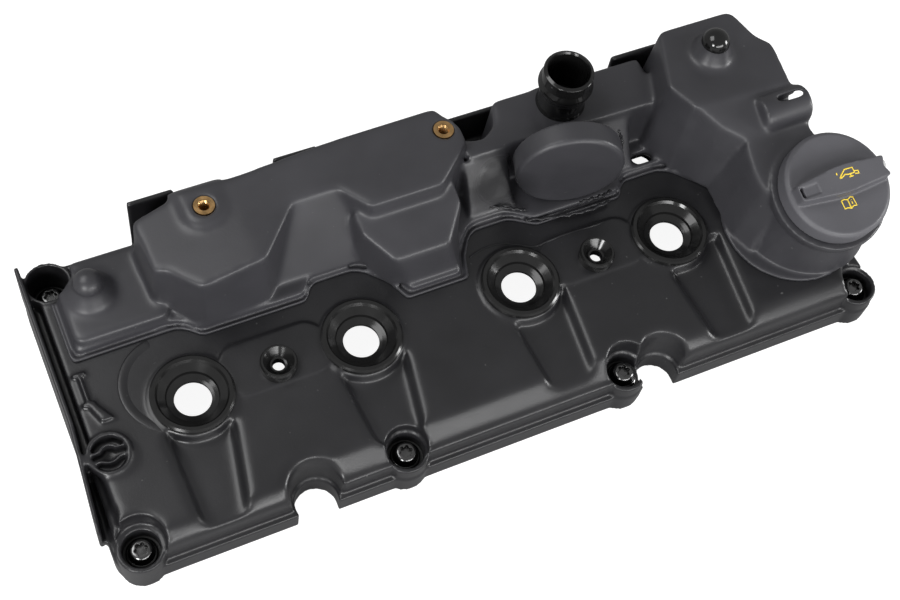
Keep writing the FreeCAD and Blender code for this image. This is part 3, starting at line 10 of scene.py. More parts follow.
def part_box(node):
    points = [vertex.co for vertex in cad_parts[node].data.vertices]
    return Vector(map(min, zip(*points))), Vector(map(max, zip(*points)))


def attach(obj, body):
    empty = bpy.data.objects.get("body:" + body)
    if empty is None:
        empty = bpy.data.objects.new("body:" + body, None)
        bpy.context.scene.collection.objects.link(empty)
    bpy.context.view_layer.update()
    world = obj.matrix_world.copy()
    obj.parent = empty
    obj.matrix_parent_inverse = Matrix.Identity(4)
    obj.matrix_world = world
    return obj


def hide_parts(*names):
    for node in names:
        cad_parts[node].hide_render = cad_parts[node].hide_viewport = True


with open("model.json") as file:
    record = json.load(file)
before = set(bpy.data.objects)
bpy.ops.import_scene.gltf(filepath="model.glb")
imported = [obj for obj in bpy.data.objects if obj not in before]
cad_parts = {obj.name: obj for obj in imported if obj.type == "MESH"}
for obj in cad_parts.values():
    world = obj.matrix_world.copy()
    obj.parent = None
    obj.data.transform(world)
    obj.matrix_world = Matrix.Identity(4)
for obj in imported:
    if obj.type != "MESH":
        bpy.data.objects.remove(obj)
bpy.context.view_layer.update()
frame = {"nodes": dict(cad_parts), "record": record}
nodes = frame["nodes"]
MM = 0.001

# The camera, fitted to the photograph: metres, degrees and millimetres of lens.
CAMERA_PLACE = (-0.2087, -0.29424, 0.70254)
CAMERA_TURN = (28.150, -6.425, -23.962)
CAMERA_LENS = 60.0
CAMERA_SENSOR = 36.0
CAMERA_NEAREST = 0.01
CAMERA_FARTHEST = 20.0

# The studio, in metres and watts: each lamp's name, place, width, height and power.
LIGHTS = (
    ("front_light", (0.15, -1.2, 0.45), 1.3, 0.3, 10.5),
    ("left_light", (-0.95, -0.8, 0.55), 0.35, 0.35, 9.0),
    ("right_light", (1.2, -0.5, 0.3), 0.3, 0.4, 7.0),
    ("top_light", (-0.7, 0.4, 1.2), 0.9, 0.7, 8.5),
)
LIGHT_TARGET = (0.0, 0.0, 0.03)
WORLD_SEEN = 1.0
WORLD_FILL = 0.4
FLOOR_HALF = 3.0
FLOOR_LEVEL = 0.4
FLOOR_GLOW = 0.92

# How much of its way to the middle of its neighbours a point moves in each round of relaxing, at
# the crisp places and, added to that, at the soft ones. Each pair says where the softness starts
# and where it is full: a height, or for the troughs a distance in front of the injectors' line.
# All places are in millimetres.
HOUSING_CRISP = 0.06
HOUSING_SOFT = 0.44
HOUSING_HEIGHTS = (38.0, 44.0)
COVER_CRISP = 0.04
COVER_SOFT = 0.42
TROUGH_FRONTS = (12.0, 20.0)
TROUGH_HEIGHTS = (24.0, 27.0)
EVEN_SOFT = 0.4
# The inserts, the spigot and the filler neck, where the housing keeps crisp edges: x, y and radius.
# Points there move by this share less, as they do at the bolt towers of the cover.
CRISP_PLACES = ((-99.0, 72.5, 7.0), (28.5, 74.5, 7.0), (97.0, 75.5, 15.0), (205.0, -24.0, 33.0))
CRISP_FADE = 3.0
CRISP_SHARE = 0.9
TOWER_RADII = (13.0, 18.0)
TOWER_SHARE = 0.8
# Where the plateau's left corner is thin, as x, y, z and radius.
CORNER_FILLINGS = ((-123.5, 50.3, 67.6, 3.4), (-124.5, 49.2, 68.6, 2.2))

# The rim bolts, in millimetres: places in the plan, a head's outline as radius and height, and the
# recess in it as share of its radius, height and share that its lobes stand out.
BOLT_COLUMNS = (-178.5, -44.0, 78.0, 220.0)
BOLT_LINE = -59.3
BACK_BOLT = (-178.0, 83.0)
BOLT_HEAD = ((3.9, 21.0), (4.8, 20.6), (5.5, 19.6), (5.9, 18.2), (6.1, 16.7), (6.5, 15.9), (7.3, 15.6),
             (7.6, 15.2), (7.6, 14.3), (3.0, 14.25), (3.0, 0.9), (2.7, 0.65), (0.0, 0.65))
RECESS_RADIUS = 3.3
RECESS_FLOOR = 18.4
RECESS_OUTLINE = ((0.8, RECESS_FLOOR, 0.16), (0.86, RECESS_FLOOR + 0.3, 0.16), (0.86, 20.7, 0.16),
                  (0.92, 20.95, 0.14))
BOLT_SEGMENTS = 72
# The radius, in millimetres, at which a turned form is closed on its axis.
AXIS_RADIUS = 0.01

# The threads of the brass inserts, in millimetres.
THREAD_START = 0.4
THREAD_PITCH = 1.0
THREAD_TURNS = 11
THREAD_ROOT = 3.02
THREAD_CREST = 2.55
THREAD_FLOOR = 2.6
THREAD_SEGMENTS = 48

# The locating knobs' spheres, in millimetres and degrees: x, y, z and material.
KNOBS = ((-161.0, 65.5, 53.0, "housing"), (177.0, 65.0, 99.0, "gloss_black"))
KNOB_RADIUS = 7.5
KNOB_SWEEP = 105.0
KNOB_STEPS = 16
KNOB_SEGMENTS = 64

# The filler cap's own frame, in millimetres, and the small white block in it.
CAP_BASE = (205.0, -24.0, 72.0)
CAP_TILT = math.radians(11.7)
CAP_FACE = 11.5
GRIP_FACE = 18.0
NUB_PLACE = (26.4, 1.6, 12.6)
NUB_SIZE = (4.0, 4.6, 3.4)
NUB_ROUND = 0.3

# Generic symbols of an oil can and an open book, as strokes in the cap's plan.
OIL_CAN = (((-2.4, 0.9), (-1.2, 2.1), (1.9, 4.6), (6.6, 4.4), (6.6, 1.5), (2.6, 1.6), (1.2, 2.1),
            (-1.4, 0.9), (-2.4, 0.9)),
           ((6.6, 2.4), (8.9, 1.9), (8.9, 0.4), (6.6, 0.9)), ((4.0, 1.6), (4.0, 0.2)),
           ((2.8, 0.1), (5.2, 0.1)), ((-3.0, 4.1), (-3.3, 2.9)))
OPEN_BOOK = (((-3.3, -8.9), (-1.6, -8.7), (0.2, -9.4), (2.0, -8.4), (3.6, -8.8), (3.8, -13.6),
              (2.0, -13.3), (0.2, -14.2), (-1.6, -13.4), (-3.3, -13.6), (-3.3, -8.9)),
             ((0.2, -9.4), (0.2, -14.2)), ((2.0, -10.0), (2.0, -10.3)), ((2.0, -11.0), (2.0, -12.3)))
STROKE_RADIUS = 0.36
STROKE_FLATNESS = 0.5

# Seams where melted plastic was pressed out, as x, y and z in millimetres.
FLASH_LINES = (
    ((62.0, 32.5, 36.5), (74.0, 29.5, 37.0), (86.0, 27.0, 37.5), (98.0, 26.0, 37.5), (110.0, 27.5, 37.0)),
    ((92.0, 30.0, 41.5), (99.0, 29.0, 43.0), (106.0, 29.5, 42.0), (112.0, 31.5, 40.0)),
    ((113.0, 43.0, 80.0), (115.5, 42.0, 74.0), (116.5, 40.5, 68.0), (115.0, 39.0, 61.0)),
    ((46.0, 44.0, 41.0), (52.0, 41.0, 42.0), (58.0, 38.5, 41.0), (64.0, 36.5, 39.5)),
)
FLASH_RADIUS = 0.85
FLASH_WAVE = 0.13
# The thin ridge on the deck between the seam and the right-hand seals.
RIDGE_LINE = ((26.0, 23.4, 34.0), (32.0, 25.2, 34.0), (38.0, 25.8, 34.0), (44.3, 25.2, 34.0),
              (52.4, 22.0, 34.0), (60.4, 17.6, 34.1), (69.8, 17.6, 35.1), (79.0, 18.0, 35.1),
              (96.5, 17.6, 35.1), (108.0, 18.4, 34.2))
RIDGE_RADIUS = 0.55
BEAD_SEGMENTS = 10
BEAD_STEPS = 12
BEAD_FLATNESS = 0.7

# The low step on the deck beside the first injector, in millimetres and degrees. Its profile is
# given as the way out from the radius and the share of the rise.
STEP_CENTRE = (-138.5, 10.5)
STEP_RADIUS = 26.0
STEP_START = 98
STEP_END = 242
STEP_SPACING = 3
STEP_FOOT = 33.9
STEP_RISE = 0.7
STEP_FADE = 0.3
STEP_PROFILE = ((0.5, -0.2), (0.25, 0.15), (-0.1, 0.8), (-0.6, 1.0), (-3.0, 0.9), (-5.5, -0.3))

# Left of the drum the housing melted a little when it was welded and is glossier and rippled there; its
# colour there is also darkened as painted shade in the crease beside the drum: the place and its reach, in
# metres.
MELT_AND_SHADE_PLACE = (0.052, 0.051, 0.053)
MELT_AND_SHADE_REACH = 0.024

# Colours are linear.
WHITE = (1.0, 1.0, 1.0, 1.0)
BRASS = (0.6, 0.37, 0.16, 1.0)
YELLOW = (0.85, 0.62, 0.05, 1.0)


def grey(level, blue=1.0):
    """A neutral colour, a little cooler where blue is above 1."""
    return (level, level * (1.0 - 0.1 * (blue - 1.0)), level * blue, 1.0)


def scaled(colour, share):
    """A colour made darker or lighter, up to white."""
    return tuple(min(1.0, channel * share) for channel in colour[:3]) + (1.0,)


def new_material(name):
    material = bpy.data.materials.new(name)
    material.use_nodes = True
    tree = material.node_tree
    shader = tree.nodes["Principled BSDF"]
    return material, tree, shader


def add_node(tree, kind, **settings):
    node = tree.nodes.new(kind)
    for key, value in settings.items():
        setattr(node, key, value)
    return node


def position_of(tree):
    """The place on the piece, in metres."""
    return add_node(tree, "ShaderNodeTexCoord").outputs["Object"]


def noise(tree, scale, detail=3.0):
    texture = add_node(tree, "ShaderNodeTexNoise")
    texture.inputs["Scale"].default_value = scale
    texture.inputs["Detail"].default_value = detail
    tree.links.new(position_of(tree), texture.inputs["Vector"])
    return texture.outputs["Fac"]


def spread(tree, value, low, high, start=0.3, end=0.7):
    """Map a value from start..end to low..high. A noise texture stays mostly within 0.3..0.7."""
    node = add_node(tree, "ShaderNodeMapRange")
    node.inputs["From Min"].default_value = start
    node.inputs["From Max"].default_value = end
    node.inputs["To Min"].default_value = low
    node.inputs["To Max"].default_value = high
    tree.links.new(value, node.inputs["Value"])
    return node.outputs["Result"]


def mix_colour(tree, share, first, second):
    """A mix of two colours, each a plain colour or another node's output."""
    node = add_node(tree, "ShaderNodeMix", data_type="RGBA")
    tree.links.new(share, node.inputs["Factor"])
    for colour, socket in ((first, node.inputs[6]), (second, node.inputs[7])):
        if isinstance(colour, tuple):
            socket.default_value = colour
        else:
            tree.links.new(colour, socket)
    return node.outputs[2]


def bump(tree, height, strength, distance, onto=None):
    """A normal that a height in metres of distance tilts, on top of another normal where given."""
    node = add_node(tree, "ShaderNodeBump")
    node.inputs["Strength"].default_value = strength
    node.inputs["Distance"].default_value = distance
    tree.links.new(height, node.inputs["Height"])
    if onto is not None:
        tree.links.new(onto, node.inputs["Normal"])
    return node.outputs["Normal"]


def moulded_plastic(name, dark, light, rough_low, rough_high, grain=0.35):
    """Moulded plastic: cloudy sheen, fine grain, a slight waviness and a few dust specks."""
    material, tree, shader = new_material(name)
    cloud = noise(tree, scale=28.0, detail=4.0)
    fine = noise(tree, scale=900.0, detail=2.0)
    colour = mix_colour(tree, spread(tree, cloud, 0.0, 1.0), dark, light)
    dust = spread(tree, noise(tree, scale=420.0, detail=1.0), 0.0, 0.5, start=0.77, end=0.82)
    colour = mix_colour(tree, dust, colour, grey(0.12))
    tree.links.new(colour, shader.inputs["Base Color"])
    tree.links.new(spread(tree, cloud, rough_low, rough_high), shader.inputs["Roughness"])
    normal = bump(tree, fine, strength=grain, distance=0.00006)
    waves = noise(tree, scale=55.0, detail=2.0)
    normal = bump(tree, waves, strength=0.12, distance=0.0004, onto=normal)
    tree.links.new(normal, shader.inputs["Normal"])
    return material


def add_melt_and_painted_shade(material, place, reach):
    """Glossier and slightly rippled plastic round a place, with its colour darkened there as painted
    shade.
    """
    tree = material.node_tree
    shader = tree.nodes["Principled BSDF"]
    distance = add_node(tree, "ShaderNodeVectorMath", operation="DISTANCE")
    tree.links.new(position_of(tree), distance.inputs[0])
    distance.inputs[1].default_value = place
    zone = spread(tree, distance.outputs["Value"], 1.0, 0.0, start=reach * 0.4, end=reach)
    # Towards the place the colour goes to near black: painted shade, not a colour of the plastic.
    plain_colour = shader.inputs["Base Color"].links[0].from_socket
    tree.links.new(mix_colour(tree, zone, plain_colour, grey(0.012, 1.1)), shader.inputs["Base Color"])
    rough = add_node(tree, "ShaderNodeMix")
    tree.links.new(zone, rough.inputs[0])
    tree.links.new(shader.inputs["Roughness"].links[0].from_socket, rough.inputs[2])
    rough.inputs[3].default_value = 0.23
    tree.links.new(rough.outputs[0], shader.inputs["Roughness"])
    height = add_node(tree, "ShaderNodeMath", operation="MULTIPLY")
    tree.links.new(noise(tree, scale=70.0, detail=1.0), height.inputs[0])
    tree.links.new(zone, height.inputs[1])
    plain_normal = shader.inputs["Normal"].links[0].from_socket
    normal = bump(tree, height.outputs[0], strength=0.5, distance=0.0016, onto=plain_normal)
    tree.links.new(normal, shader.inputs["Normal"])


def rubber(name, level, rough):
    """Moulded rubber with a cloudy sheen."""
    material, tree, shader = new_material(name)
    cloud = noise(tree, scale=90.0, detail=3.0)
    colour = mix_colour(tree, spread(tree, cloud, 0.0, 1.0), grey(level), grey(level * 1.5))
    tree.links.new(colour, shader.inputs["Base Color"])
    tree.links.new(spread(tree, cloud, rough * 0.85, rough * 1.2), shader.inputs["Roughness"])
    normal = bump(tree, noise(tree, scale=350.0, detail=2.0), strength=0.08, distance=0.0001)
    tree.links.new(normal, shader.inputs["Normal"])
    return material


def metal(name, colour, rough):
    """Turned metal, unevenly bright."""
    material, tree, shader = new_material(name)
    cloud = noise(tree, scale=260.0, detail=3.0)
    mix = mix_colour(tree, spread(tree, cloud, 0.0, 1.0), scaled(colour, 0.7), colour)
    tree.links.new(mix, shader.inputs["Base Color"])
    shader.inputs["Metallic"].default_value = 1.0
    tree.links.new(spread(tree, cloud, rough * 0.8, rough * 1.25), shader.inputs["Roughness"])
    normal = bump(tree, noise(tree, scale=1500.0, detail=1.0), strength=0.1, distance=0.00003)
    tree.links.new(normal, shader.inputs["Normal"])
    return material


def printed(name, colour, rough):
    """Printed paint with slight unevenness."""
    material, tree, shader = new_material(name)
    share = spread(tree, noise(tree, scale=700.0), 0.0, 1.0)
    mix = mix_colour(tree, share, colour, scaled(colour, 1.15))
    tree.links.new(mix, shader.inputs["Base Color"])
    shader.inputs["Roughness"].default_value = rough
    return material


MATERIALS = {
    "cover": moulded_plastic("cover_plastic", grey(0.011, 1.1), grey(0.016, 1.1), 0.3, 0.38, grain=0.6),
    "housing": moulded_plastic("housing_plastic", grey(0.03, 1.12), grey(0.039, 1.12), 0.36, 0.46,
                               grain=0.5),
    "inner_plastic": moulded_plastic("inner_plastic", grey(0.03), grey(0.04), 0.45, 0.55),
    "rubber": rubber("plain_rubber", 0.018, 0.5),
    "seal_rubber": rubber("seal_rubber", 0.007, 0.17),
    "gloss_black": moulded_plastic("gloss_plastic", grey(0.005), grey(0.007), 0.1, 0.16, grain=0.05),
    "cap": moulded_plastic("cap_plastic", grey(0.078, 1.1), grey(0.096, 1.1), 0.44, 0.54, grain=0.8),
    "white_plastic": moulded_plastic("white_plastic", grey(0.7), grey(0.76), 0.4, 0.5, grain=0.2),
    "steel": metal("plain_steel", grey(0.5), 0.3),
    "dark_steel": metal("coated_steel", grey(0.16), 0.2),
    "brass": metal("brass", BRASS, 0.3),
}
add_melt_and_painted_shade(MATERIALS["housing"], MELT_AND_SHADE_PLACE, MELT_AND_SHADE_REACH)


def smooth_by_angle(piece, degrees):
    """Keep the edges sharper than this angle sharp."""
    mesh = piece.data
    work = bmesh.new()
    work.from_mesh(mesh)
    limit = math.radians(degrees)
    for edge in work.edges:
        edge.smooth = len(edge.link_faces) == 2 and edge.calc_face_angle(0.0) < limit
    work.to_mesh(mesh)
    work.free()


def dress_nodes():
    """Give each node the material of its slot."""
    for row in frame["record"]["subparts"]:
        node = nodes[row["node"]]
        node.data.materials.clear()
        node.data.materials.append(MATERIALS[row["material_slot"]])
        for face in node.data.polygons:
            face.use_smooth = True
        smooth_by_angle(node, 32.0)


def add_object(name, data):
    """A new object in the scene."""
    item = bpy.data.objects.new(name, data)
    bpy.context.scene.collection.objects.link(item)
    return item


def apply_modifiers(piece):
    """Turn the piece's modifiers into its mesh."""
    shape = piece.evaluated_get(bpy.context.evaluated_depsgraph_get())
    mesh = bpy.data.meshes.new_from_object(shape)
    piece.modifiers.clear()
    piece.data = mesh
    return mesh


def relax(mesh, share_at, rounds):
    """Round a fine mesh: each point moves towards the middle of its neighbours."""
    count = len(mesh.vertices)
    place = numpy.empty(count * 3)
    mesh.vertices.foreach_get("co", place)
    place = place.reshape(-1, 3)
    ends = numpy.empty(len(mesh.edges) * 2, dtype=numpy.int32)
    mesh.edges.foreach_get("vertices", ends)
    first, second = ends.reshape(-1, 2).T
    links = numpy.bincount(first, minlength=count) + numpy.bincount(second, minlength=count)
    share = share_at(place / MM)
    for _ in range(rounds):
        sums = [numpy.bincount(first, place[second, axis], count)
                + numpy.bincount(second, place[first, axis], count) for axis in range(3)]
        middle = numpy.stack(sums, axis=1) / links[:, None]
        place = place + (middle - place) * share[:, None]
    mesh.vertices.foreach_set("co", place.ravel())
    mesh.update()


def near(place, x, y, low, high):
    """1 within the low radius round a place in the plan, 0 outside the high one."""
    distance = numpy.hypot(place[:, 0] - x, place[:, 1] - y)
    return numpy.clip((high - distance) / (high - low), 0.0, 1.0)


def rising(values, low, high):
    """0 below low, 1 above high."""
    return numpy.clip((values - low) / (high - low), 0.0, 1.0)


def housing_softness(place):
    """Large soft rounds on the upper forms, small ones where pieces seat."""
    share = HOUSING_CRISP + HOUSING_SOFT * rising(place[:, 2], *HOUSING_HEIGHTS)
    for x, y, radius in CRISP_PLACES:
        share = share * (1.0 - CRISP_SHARE * near(place, x, y, radius, radius + CRISP_FADE))
    return share


def cover_softness(place):
    """Soft trough edges in front of the injectors, crisper towers and rim."""
    trough = rising(-place[:, 1], *TROUGH_FRONTS) * rising(place[:, 2], *TROUGH_HEIGHTS)
    share = COVER_CRISP + COVER_SOFT * trough
    for x in BOLT_COLUMNS:
        share = share * (1.0 - TOWER_SHARE * near(place, x, BOLT_LINE, *TOWER_RADII))
    return share


def even_softness(place):
    return numpy.full(len(place), EVEN_SOFT)


def rounded_moulding(source_name, slot, body, share_at, rounds, voxel, most_triangles, fillings=()):
    """Replace a moulding by a finely rounded copy of itself, with thin walls filled from inside."""
    work = bmesh.new()
    work.from_mesh(nodes[source_name].data)
    for x, y, z, radius in fillings:
        bmesh.ops.create_icosphere(work, subdivisions=3, radius=radius * MM,
                                   matrix=Matrix.Translation(Vector((x, y, z)) * MM))
    solid = bpy.data.meshes.new("rounded_" + source_name)
    work.to_mesh(solid)
    work.free()
    piece = add_object("rounded_" + source_name, solid)
    fine = piece.modifiers.new("fine", "REMESH")
    fine.mode = "VOXEL"
    fine.voxel_size = voxel * MM
    mesh = apply_modifiers(piece)
    relax(mesh, share_at, rounds)
    triangles = 2 * len(mesh.polygons)
    if triangles > most_triangles:
        fewer = piece.modifiers.new("fewer", "DECIMATE")
        fewer.ratio = most_triangles / triangles
        mesh = apply_modifiers(piece)
    for face in mesh.polygons:
        face.use_smooth = True
    mesh.materials.clear()
    mesh.materials.append(MATERIALS[slot])
    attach(piece, body)
    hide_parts(source_name)


def new_piece(name, mesh, material, body):
    """Add a smooth-shaded piece that rides on a body."""
    piece = add_object(name, mesh)
    mesh.materials.append(material)
    for face in mesh.polygons:
        face.use_smooth = True
    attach(piece, body)
    return piece


def piece_from(work, name, material, body, outwards=True):
    """Turn finished mesh work into a piece, with its faces turned outwards."""
    if outwards:
        bmesh.ops.recalc_face_normals(work, faces=work.faces)
    mesh = bpy.data.meshes.new(name)
    work.to_mesh(mesh)
    work.free()
    return new_piece(name, mesh, material, body)


def add_rings(work, rings):
    """Join closed rings of points, one after the other, by faces."""
    made = [[work.verts.new(Vector(point) * MM) for point in ring] for ring in rings]
    for lower, upper in zip(made, made[1:]):
        count = len(lower)
        for index in range(count):
            after = (index + 1) % count
            work.faces.new((lower[index], lower[after], upper[after], upper[index]))
    return made


def circle(x, y, radius, height, segments, lobes=0.0):
    """A ring of points round a place in the plan, with six lobes where asked."""
    ring = []
    for index in range(segments):
        angle = 2 * math.pi * index / segments
        reach = radius * (1 + lobes * math.cos(6 * angle))
        ring.append((x + reach * math.cos(angle), y + reach * math.sin(angle), height))
    return ring


def make_bolts():
    """Domed bolts with a six-lobed recess."""
    work = bmesh.new()
    for x, y in [(column, BOLT_LINE) for column in BOLT_COLUMNS] + [BACK_BOLT]:
        rings = [circle(x, y, AXIS_RADIUS, RECESS_FLOOR, BOLT_SEGMENTS)]
        rings += [circle(x, y, RECESS_RADIUS * share, height, BOLT_SEGMENTS, lobes)
                  for share, height, lobes in RECESS_OUTLINE]
        rings += [circle(x, y, max(radius, AXIS_RADIUS), height, BOLT_SEGMENTS)
                  for radius, height in BOLT_HEAD]
        add_rings(work, rings)
    piece = piece_from(work, "lobed_bolts", MATERIALS["dark_steel"], "cover")
    smooth_by_angle(piece, 40.0)
    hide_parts("rim_bolts")


def make_insert_threads():
    """The threads inside the two brass inserts, with a floor below them."""
    work = bmesh.new()
    for name in ("threaded_insert_left", "threaded_insert_right"):
        low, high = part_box(name)
        x = (low.x + high.x) / 2 / MM
        y = (low.y + high.y) / 2 / MM
        top = high.z / MM - THREAD_START
        rings = []
        for turn in range(THREAD_TURNS):
            rings.append(circle(x, y, THREAD_ROOT, top - turn * THREAD_PITCH, THREAD_SEGMENTS))
            rings.append(circle(x, y, THREAD_CREST, top - (turn + 0.5) * THREAD_PITCH, THREAD_SEGMENTS))
        add_rings(work, rings)
        floor = circle(x, y, THREAD_FLOOR, top - THREAD_TURNS * THREAD_PITCH, THREAD_SEGMENTS)
        work.faces.new([work.verts.new(Vector(point) * MM) for point in floor])
    piece = piece_from(work, "insert_threads", MATERIALS["brass"], "cover", outwards=False)
    smooth_by_angle(piece, 25.0)


def make_knobs():
    """Round heads on the two locating knobs."""
    for number, (x, y, z, slot) in enumerate(KNOBS, 1):
        work = bmesh.new()
        rings = []
        for step in range(KNOB_STEPS + 1):
            angle = math.radians(90.0 - step * KNOB_SWEEP / KNOB_STEPS)
            radius = max(KNOB_RADIUS * math.cos(angle), AXIS_RADIUS)
            rings.append(circle(x, y, radius, z + KNOB_RADIUS * math.sin(angle), KNOB_SEGMENTS))
        add_rings(work, rings)
        piece_from(work, "knob_head_%d" % number, MATERIALS[slot], "cover")


def cap_matrix():
    """From the cap's own frame, in millimetres, to the model's, in metres."""
    place = Matrix.Translation(Vector(CAP_BASE) * MM)
    return place @ Matrix.Rotation(CAP_TILT, 4, "X") @ Matrix.Scale(MM, 4)


def make_symbols():
    """Raised yellow symbols on the filler cap."""
    curve = bpy.data.curves.new("cap_symbols", "CURVE")
    curve.dimensions = "3D"
    curve.bevel_depth = STROKE_RADIUS
    curve.bevel_resolution = 2
    curve.use_fill_caps = True
    for strokes, height in ((OIL_CAN, GRIP_FACE), (OPEN_BOOK, CAP_FACE)):
        for stroke in strokes:
            spline = curve.splines.new("POLY")
            spline.points.add(len(stroke) - 1)
            for point, (across, along) in zip(spline.points, stroke):
                point.co = (across, along, height, 1.0)
    holder = add_object("symbol_lines", curve)
    shape = holder.evaluated_get(bpy.context.evaluated_depsgraph_get())
    mesh = bpy.data.meshes.new_from_object(shape)
    bpy.data.objects.remove(holder)
    for point in mesh.vertices:
        face = GRIP_FACE if point.co.z > (GRIP_FACE + CAP_FACE) / 2 else CAP_FACE
        point.co.z = face + (point.co.z - face) * STROKE_FLATNESS
    mesh.transform(cap_matrix())
    new_piece("cap_symbols", mesh, printed("yellow_print", YELLOW, 0.45), "cap")


def make_white_nub():
    """A small white rounded block that shows in the notch of the grip."""
    work = bmesh.new()
    bmesh.ops.create_cube(work, size=1.0)
    bmesh.ops.bevel(work, geom=work.edges[:], offset=NUB_ROUND, segments=4, profile=0.5, affect="EDGES")
    size = Matrix.Diagonal(NUB_SIZE + (1.0,))
    work.transform(cap_matrix() @ Matrix.Translation(NUB_PLACE) @ size)
    piece_from(work, "white_nub", MATERIALS["white_plastic"], "cap", outwards=False)


def smooth_path(points, steps):
    """Points on a smooth curve through the given ones."""
    ends = [points[0]] + list(points) + [points[-1]]
    path = []
    for before, start, end, after in zip(ends, ends[1:], ends[2:], ends[3:]):
        slope = end - before
        bend = 2 * before - 5 * start + 4 * end - after
        twist = 3 * start - before - 3 * end + after
        for step in range(steps):
            t = step / steps
            path.append(0.5 * (2 * start + slope * t + bend * t ** 2 + twist * t ** 3))
    return path + [points[-1]]


def wobble(travel, seed):
    """A wave between -3 and 3 with no repeat that shows."""
    return math.sin(travel * 1.7) + math.sin(travel * 0.61 + 1.3) + math.sin(travel * 3.1 + seed)


def add_bead(work, line, base_radius, wave_share):
    """A round bead along a line, uneven where its wave share is above 0."""
    path = smooth_path([Vector(point) for point in line], BEAD_STEPS)
    rings = []
    for travel, centre in enumerate(path):
        along = (path[min(travel + 1, len(path) - 1)] - path[max(travel - 1, 0)]).normalized()
        side = along.cross(Vector((0.0, 0.0, 1.0))).normalized()
        up = side.cross(along)
        radius = base_radius + wave_share * wobble(travel, len(line))
        sway = side * 0.3 * math.sin(travel * 0.9) + up * 0.2 * math.sin(travel * 1.3)
        centre = centre + sway * min(1.0, wave_share * 10)
        angles = [2 * math.pi * turn / BEAD_SEGMENTS for turn in range(BEAD_SEGMENTS)]
        rings.append([centre + (side * math.cos(angle) + up * BEAD_FLATNESS * math.sin(angle)) * radius
                      for angle in angles])
    made = add_rings(work, rings)
    work.faces.new(made[0])
    work.faces.new(made[-1])


def make_flash():
    """Uneven beads of melted plastic along the welded joints."""
    work = bmesh.new()
    for line in FLASH_LINES:
        add_bead(work, line, FLASH_RADIUS, FLASH_WAVE)
    melted = moulded_plastic("melted_plastic", grey(0.014, 1.1), grey(0.026, 1.1), 0.13, 0.27, grain=0.1)
    piece_from(work, "weld_flash", melted, "cover")


def make_deck_ridge():
    """The thin ridge on the deck behind the right-hand seals."""
    work = bmesh.new()
    add_bead(work, RIDGE_LINE, RIDGE_RADIUS, 0.0)
    piece_from(work, "deck_ridge", MATERIALS["cover"], "cover")


def make_deck_step():
    """The low curved step on the deck beside the first injector, which fades out at its ends."""
    work = bmesh.new()
    strips = []
    for degree in range(STEP_START, STEP_END + 1, STEP_SPACING):
        angle = math.radians(degree)
        fade = math.sin(math.pi * (degree - STEP_START) / (STEP_END - STEP_START)) ** STEP_FADE
        strip = []
        for out, rise in STEP_PROFILE:
            x = STEP_CENTRE[0] + (STEP_RADIUS + out) * math.cos(angle)
            y = STEP_CENTRE[1] + (STEP_RADIUS + out) * math.sin(angle)
            height = STEP_FOOT + STEP_RISE * rise * fade
            strip.append(work.verts.new(Vector((x, y, height)) * MM))
        strips.append(strip)
    for before, after in zip(strips, strips[1:]):
        for index in range(len(STEP_PROFILE) - 1):
            work.faces.new((before[index], after[index], after[index + 1], before[index + 1]))
    piece_from(work, "deck_step", MATERIALS["cover"], "cover")


def make_camera():
    data = bpy.data.cameras.new("camera")
    data.lens = CAMERA_LENS
    data.sensor_width = CAMERA_SENSOR
    data.clip_start = CAMERA_NEAREST
    data.clip_end = CAMERA_FARTHEST
    camera = add_object("camera", data)
    camera.location = CAMERA_PLACE
    camera.rotation_euler = [math.radians(angle) for angle in CAMERA_TURN]
    bpy.context.scene.camera = camera


def light_scene():
    """Soft lamps, all turned to the middle of the cover."""
    for name, place, width, height, power in LIGHTS:
        data = bpy.data.lights.new(name, "AREA")
        data.shape = "RECTANGLE"
        data.size = width
        data.size_y = height
        data.energy = power
        lamp = add_object(name, data)
        lamp.location = place
        way = Vector(LIGHT_TARGET) - Vector(place)
        lamp.rotation_euler = way.to_track_quat("-Z", "Y").to_euler()


def make_world():
    """White where the camera sees it, and a weaker fill for the object."""
    world = bpy.data.worlds.new("studio")
    bpy.context.scene.world = world
    world.use_nodes = True
    tree = world.node_tree
    tree.nodes.clear()
    path = tree.nodes.new("ShaderNodeLightPath")
    seen = tree.nodes.new("ShaderNodeBackground")
    seen.inputs["Color"].default_value = WHITE
    seen.inputs["Strength"].default_value = WORLD_SEEN
    fill = tree.nodes.new("ShaderNodeBackground")
    fill.inputs["Color"].default_value = WHITE
    fill.inputs["Strength"].default_value = WORLD_FILL
    mixer = tree.nodes.new("ShaderNodeMixShader")
    out = tree.nodes.new("ShaderNodeOutputWorld")
    tree.links.new(path.outputs["Is Camera Ray"], mixer.inputs["Fac"])
    tree.links.new(fill.outputs["Background"], mixer.inputs[1])
    tree.links.new(seen.outputs["Background"], mixer.inputs[2])
    tree.links.new(mixer.outputs["Shader"], out.inputs["Surface"])


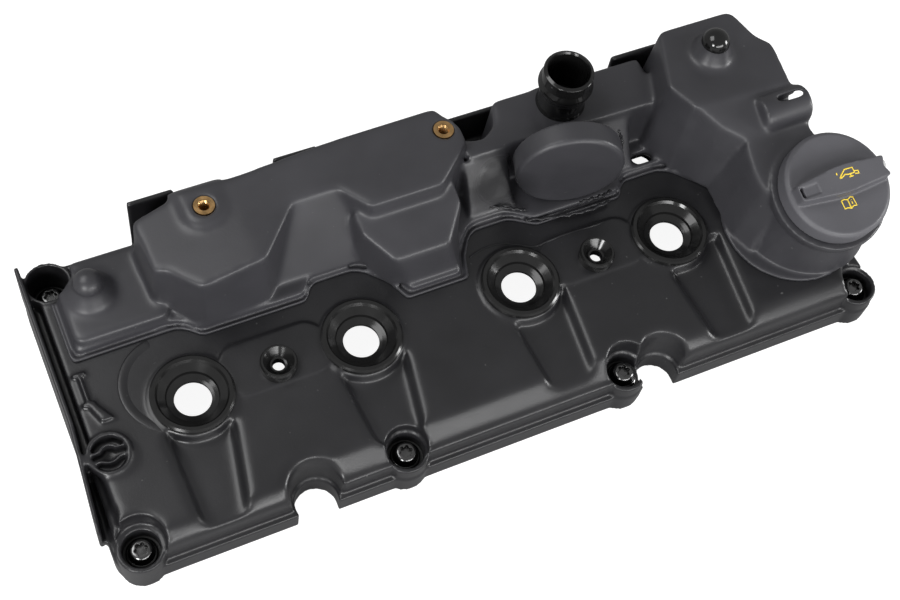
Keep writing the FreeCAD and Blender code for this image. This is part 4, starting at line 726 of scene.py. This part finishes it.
def make_floor():
    """A pale floor under the lowest node, which looks white to the camera and keeps the shadow."""
    low = min(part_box(name)[0].z for name in nodes)
    mesh = bpy.data.meshes.new("floor")
    corners = [(-FLOOR_HALF, -FLOOR_HALF, low), (FLOOR_HALF, -FLOOR_HALF, low),
               (FLOOR_HALF, FLOOR_HALF, low), (-FLOOR_HALF, FLOOR_HALF, low)]
    mesh.from_pydata(corners, [], [(0, 1, 2, 3)])
    floor = add_object("floor", mesh)
    material = bpy.data.materials.new("floor_white")
    material.use_nodes = True
    tree = material.node_tree
    tree.nodes.clear()
    path = tree.nodes.new("ShaderNodeLightPath")
    diffuse = tree.nodes.new("ShaderNodeBsdfDiffuse")
    diffuse.inputs["Color"].default_value = grey(FLOOR_LEVEL)
    glow = tree.nodes.new("ShaderNodeEmission")
    glow.inputs["Color"].default_value = WHITE
    glow.inputs["Strength"].default_value = FLOOR_GLOW
    both = tree.nodes.new("ShaderNodeAddShader")
    mixer = tree.nodes.new("ShaderNodeMixShader")
    out = tree.nodes.new("ShaderNodeOutputMaterial")
    tree.links.new(diffuse.outputs["BSDF"], both.inputs[0])
    tree.links.new(glow.outputs["Emission"], both.inputs[1])
    tree.links.new(path.outputs["Is Camera Ray"], mixer.inputs["Fac"])
    tree.links.new(diffuse.outputs["BSDF"], mixer.inputs[1])
    tree.links.new(both.outputs["Shader"], mixer.inputs[2])
    tree.links.new(mixer.outputs["Shader"], out.inputs["Surface"])
    mesh.materials.append(material)


dress_nodes()
coarse = 1.0
rounded_moulding("cover_body", "cover", "cover", cover_softness,
                 rounds=36, voxel=0.9 * coarse, most_triangles=190000)
rounded_moulding("separator_housing", "housing", "cover", housing_softness,
                 rounds=24, voxel=0.9 * coarse, most_triangles=190000, fillings=CORNER_FILLINGS)
rounded_moulding("diaphragm_cover", "housing", "cover", even_softness,
                 rounds=3, voxel=0.6 * coarse, most_triangles=60000)
rounded_moulding("filler_cap", "cap", "cap", even_softness,
                 rounds=4, voxel=0.5 * coarse, most_triangles=90000)
make_knobs()
make_bolts()
make_insert_threads()
make_symbols()
make_white_nub()
make_flash()
make_deck_step()
make_deck_ridge()
make_world()
light_scene()
make_floor()
make_camera()

bpy.context.scene.view_settings.view_transform = "Standard"
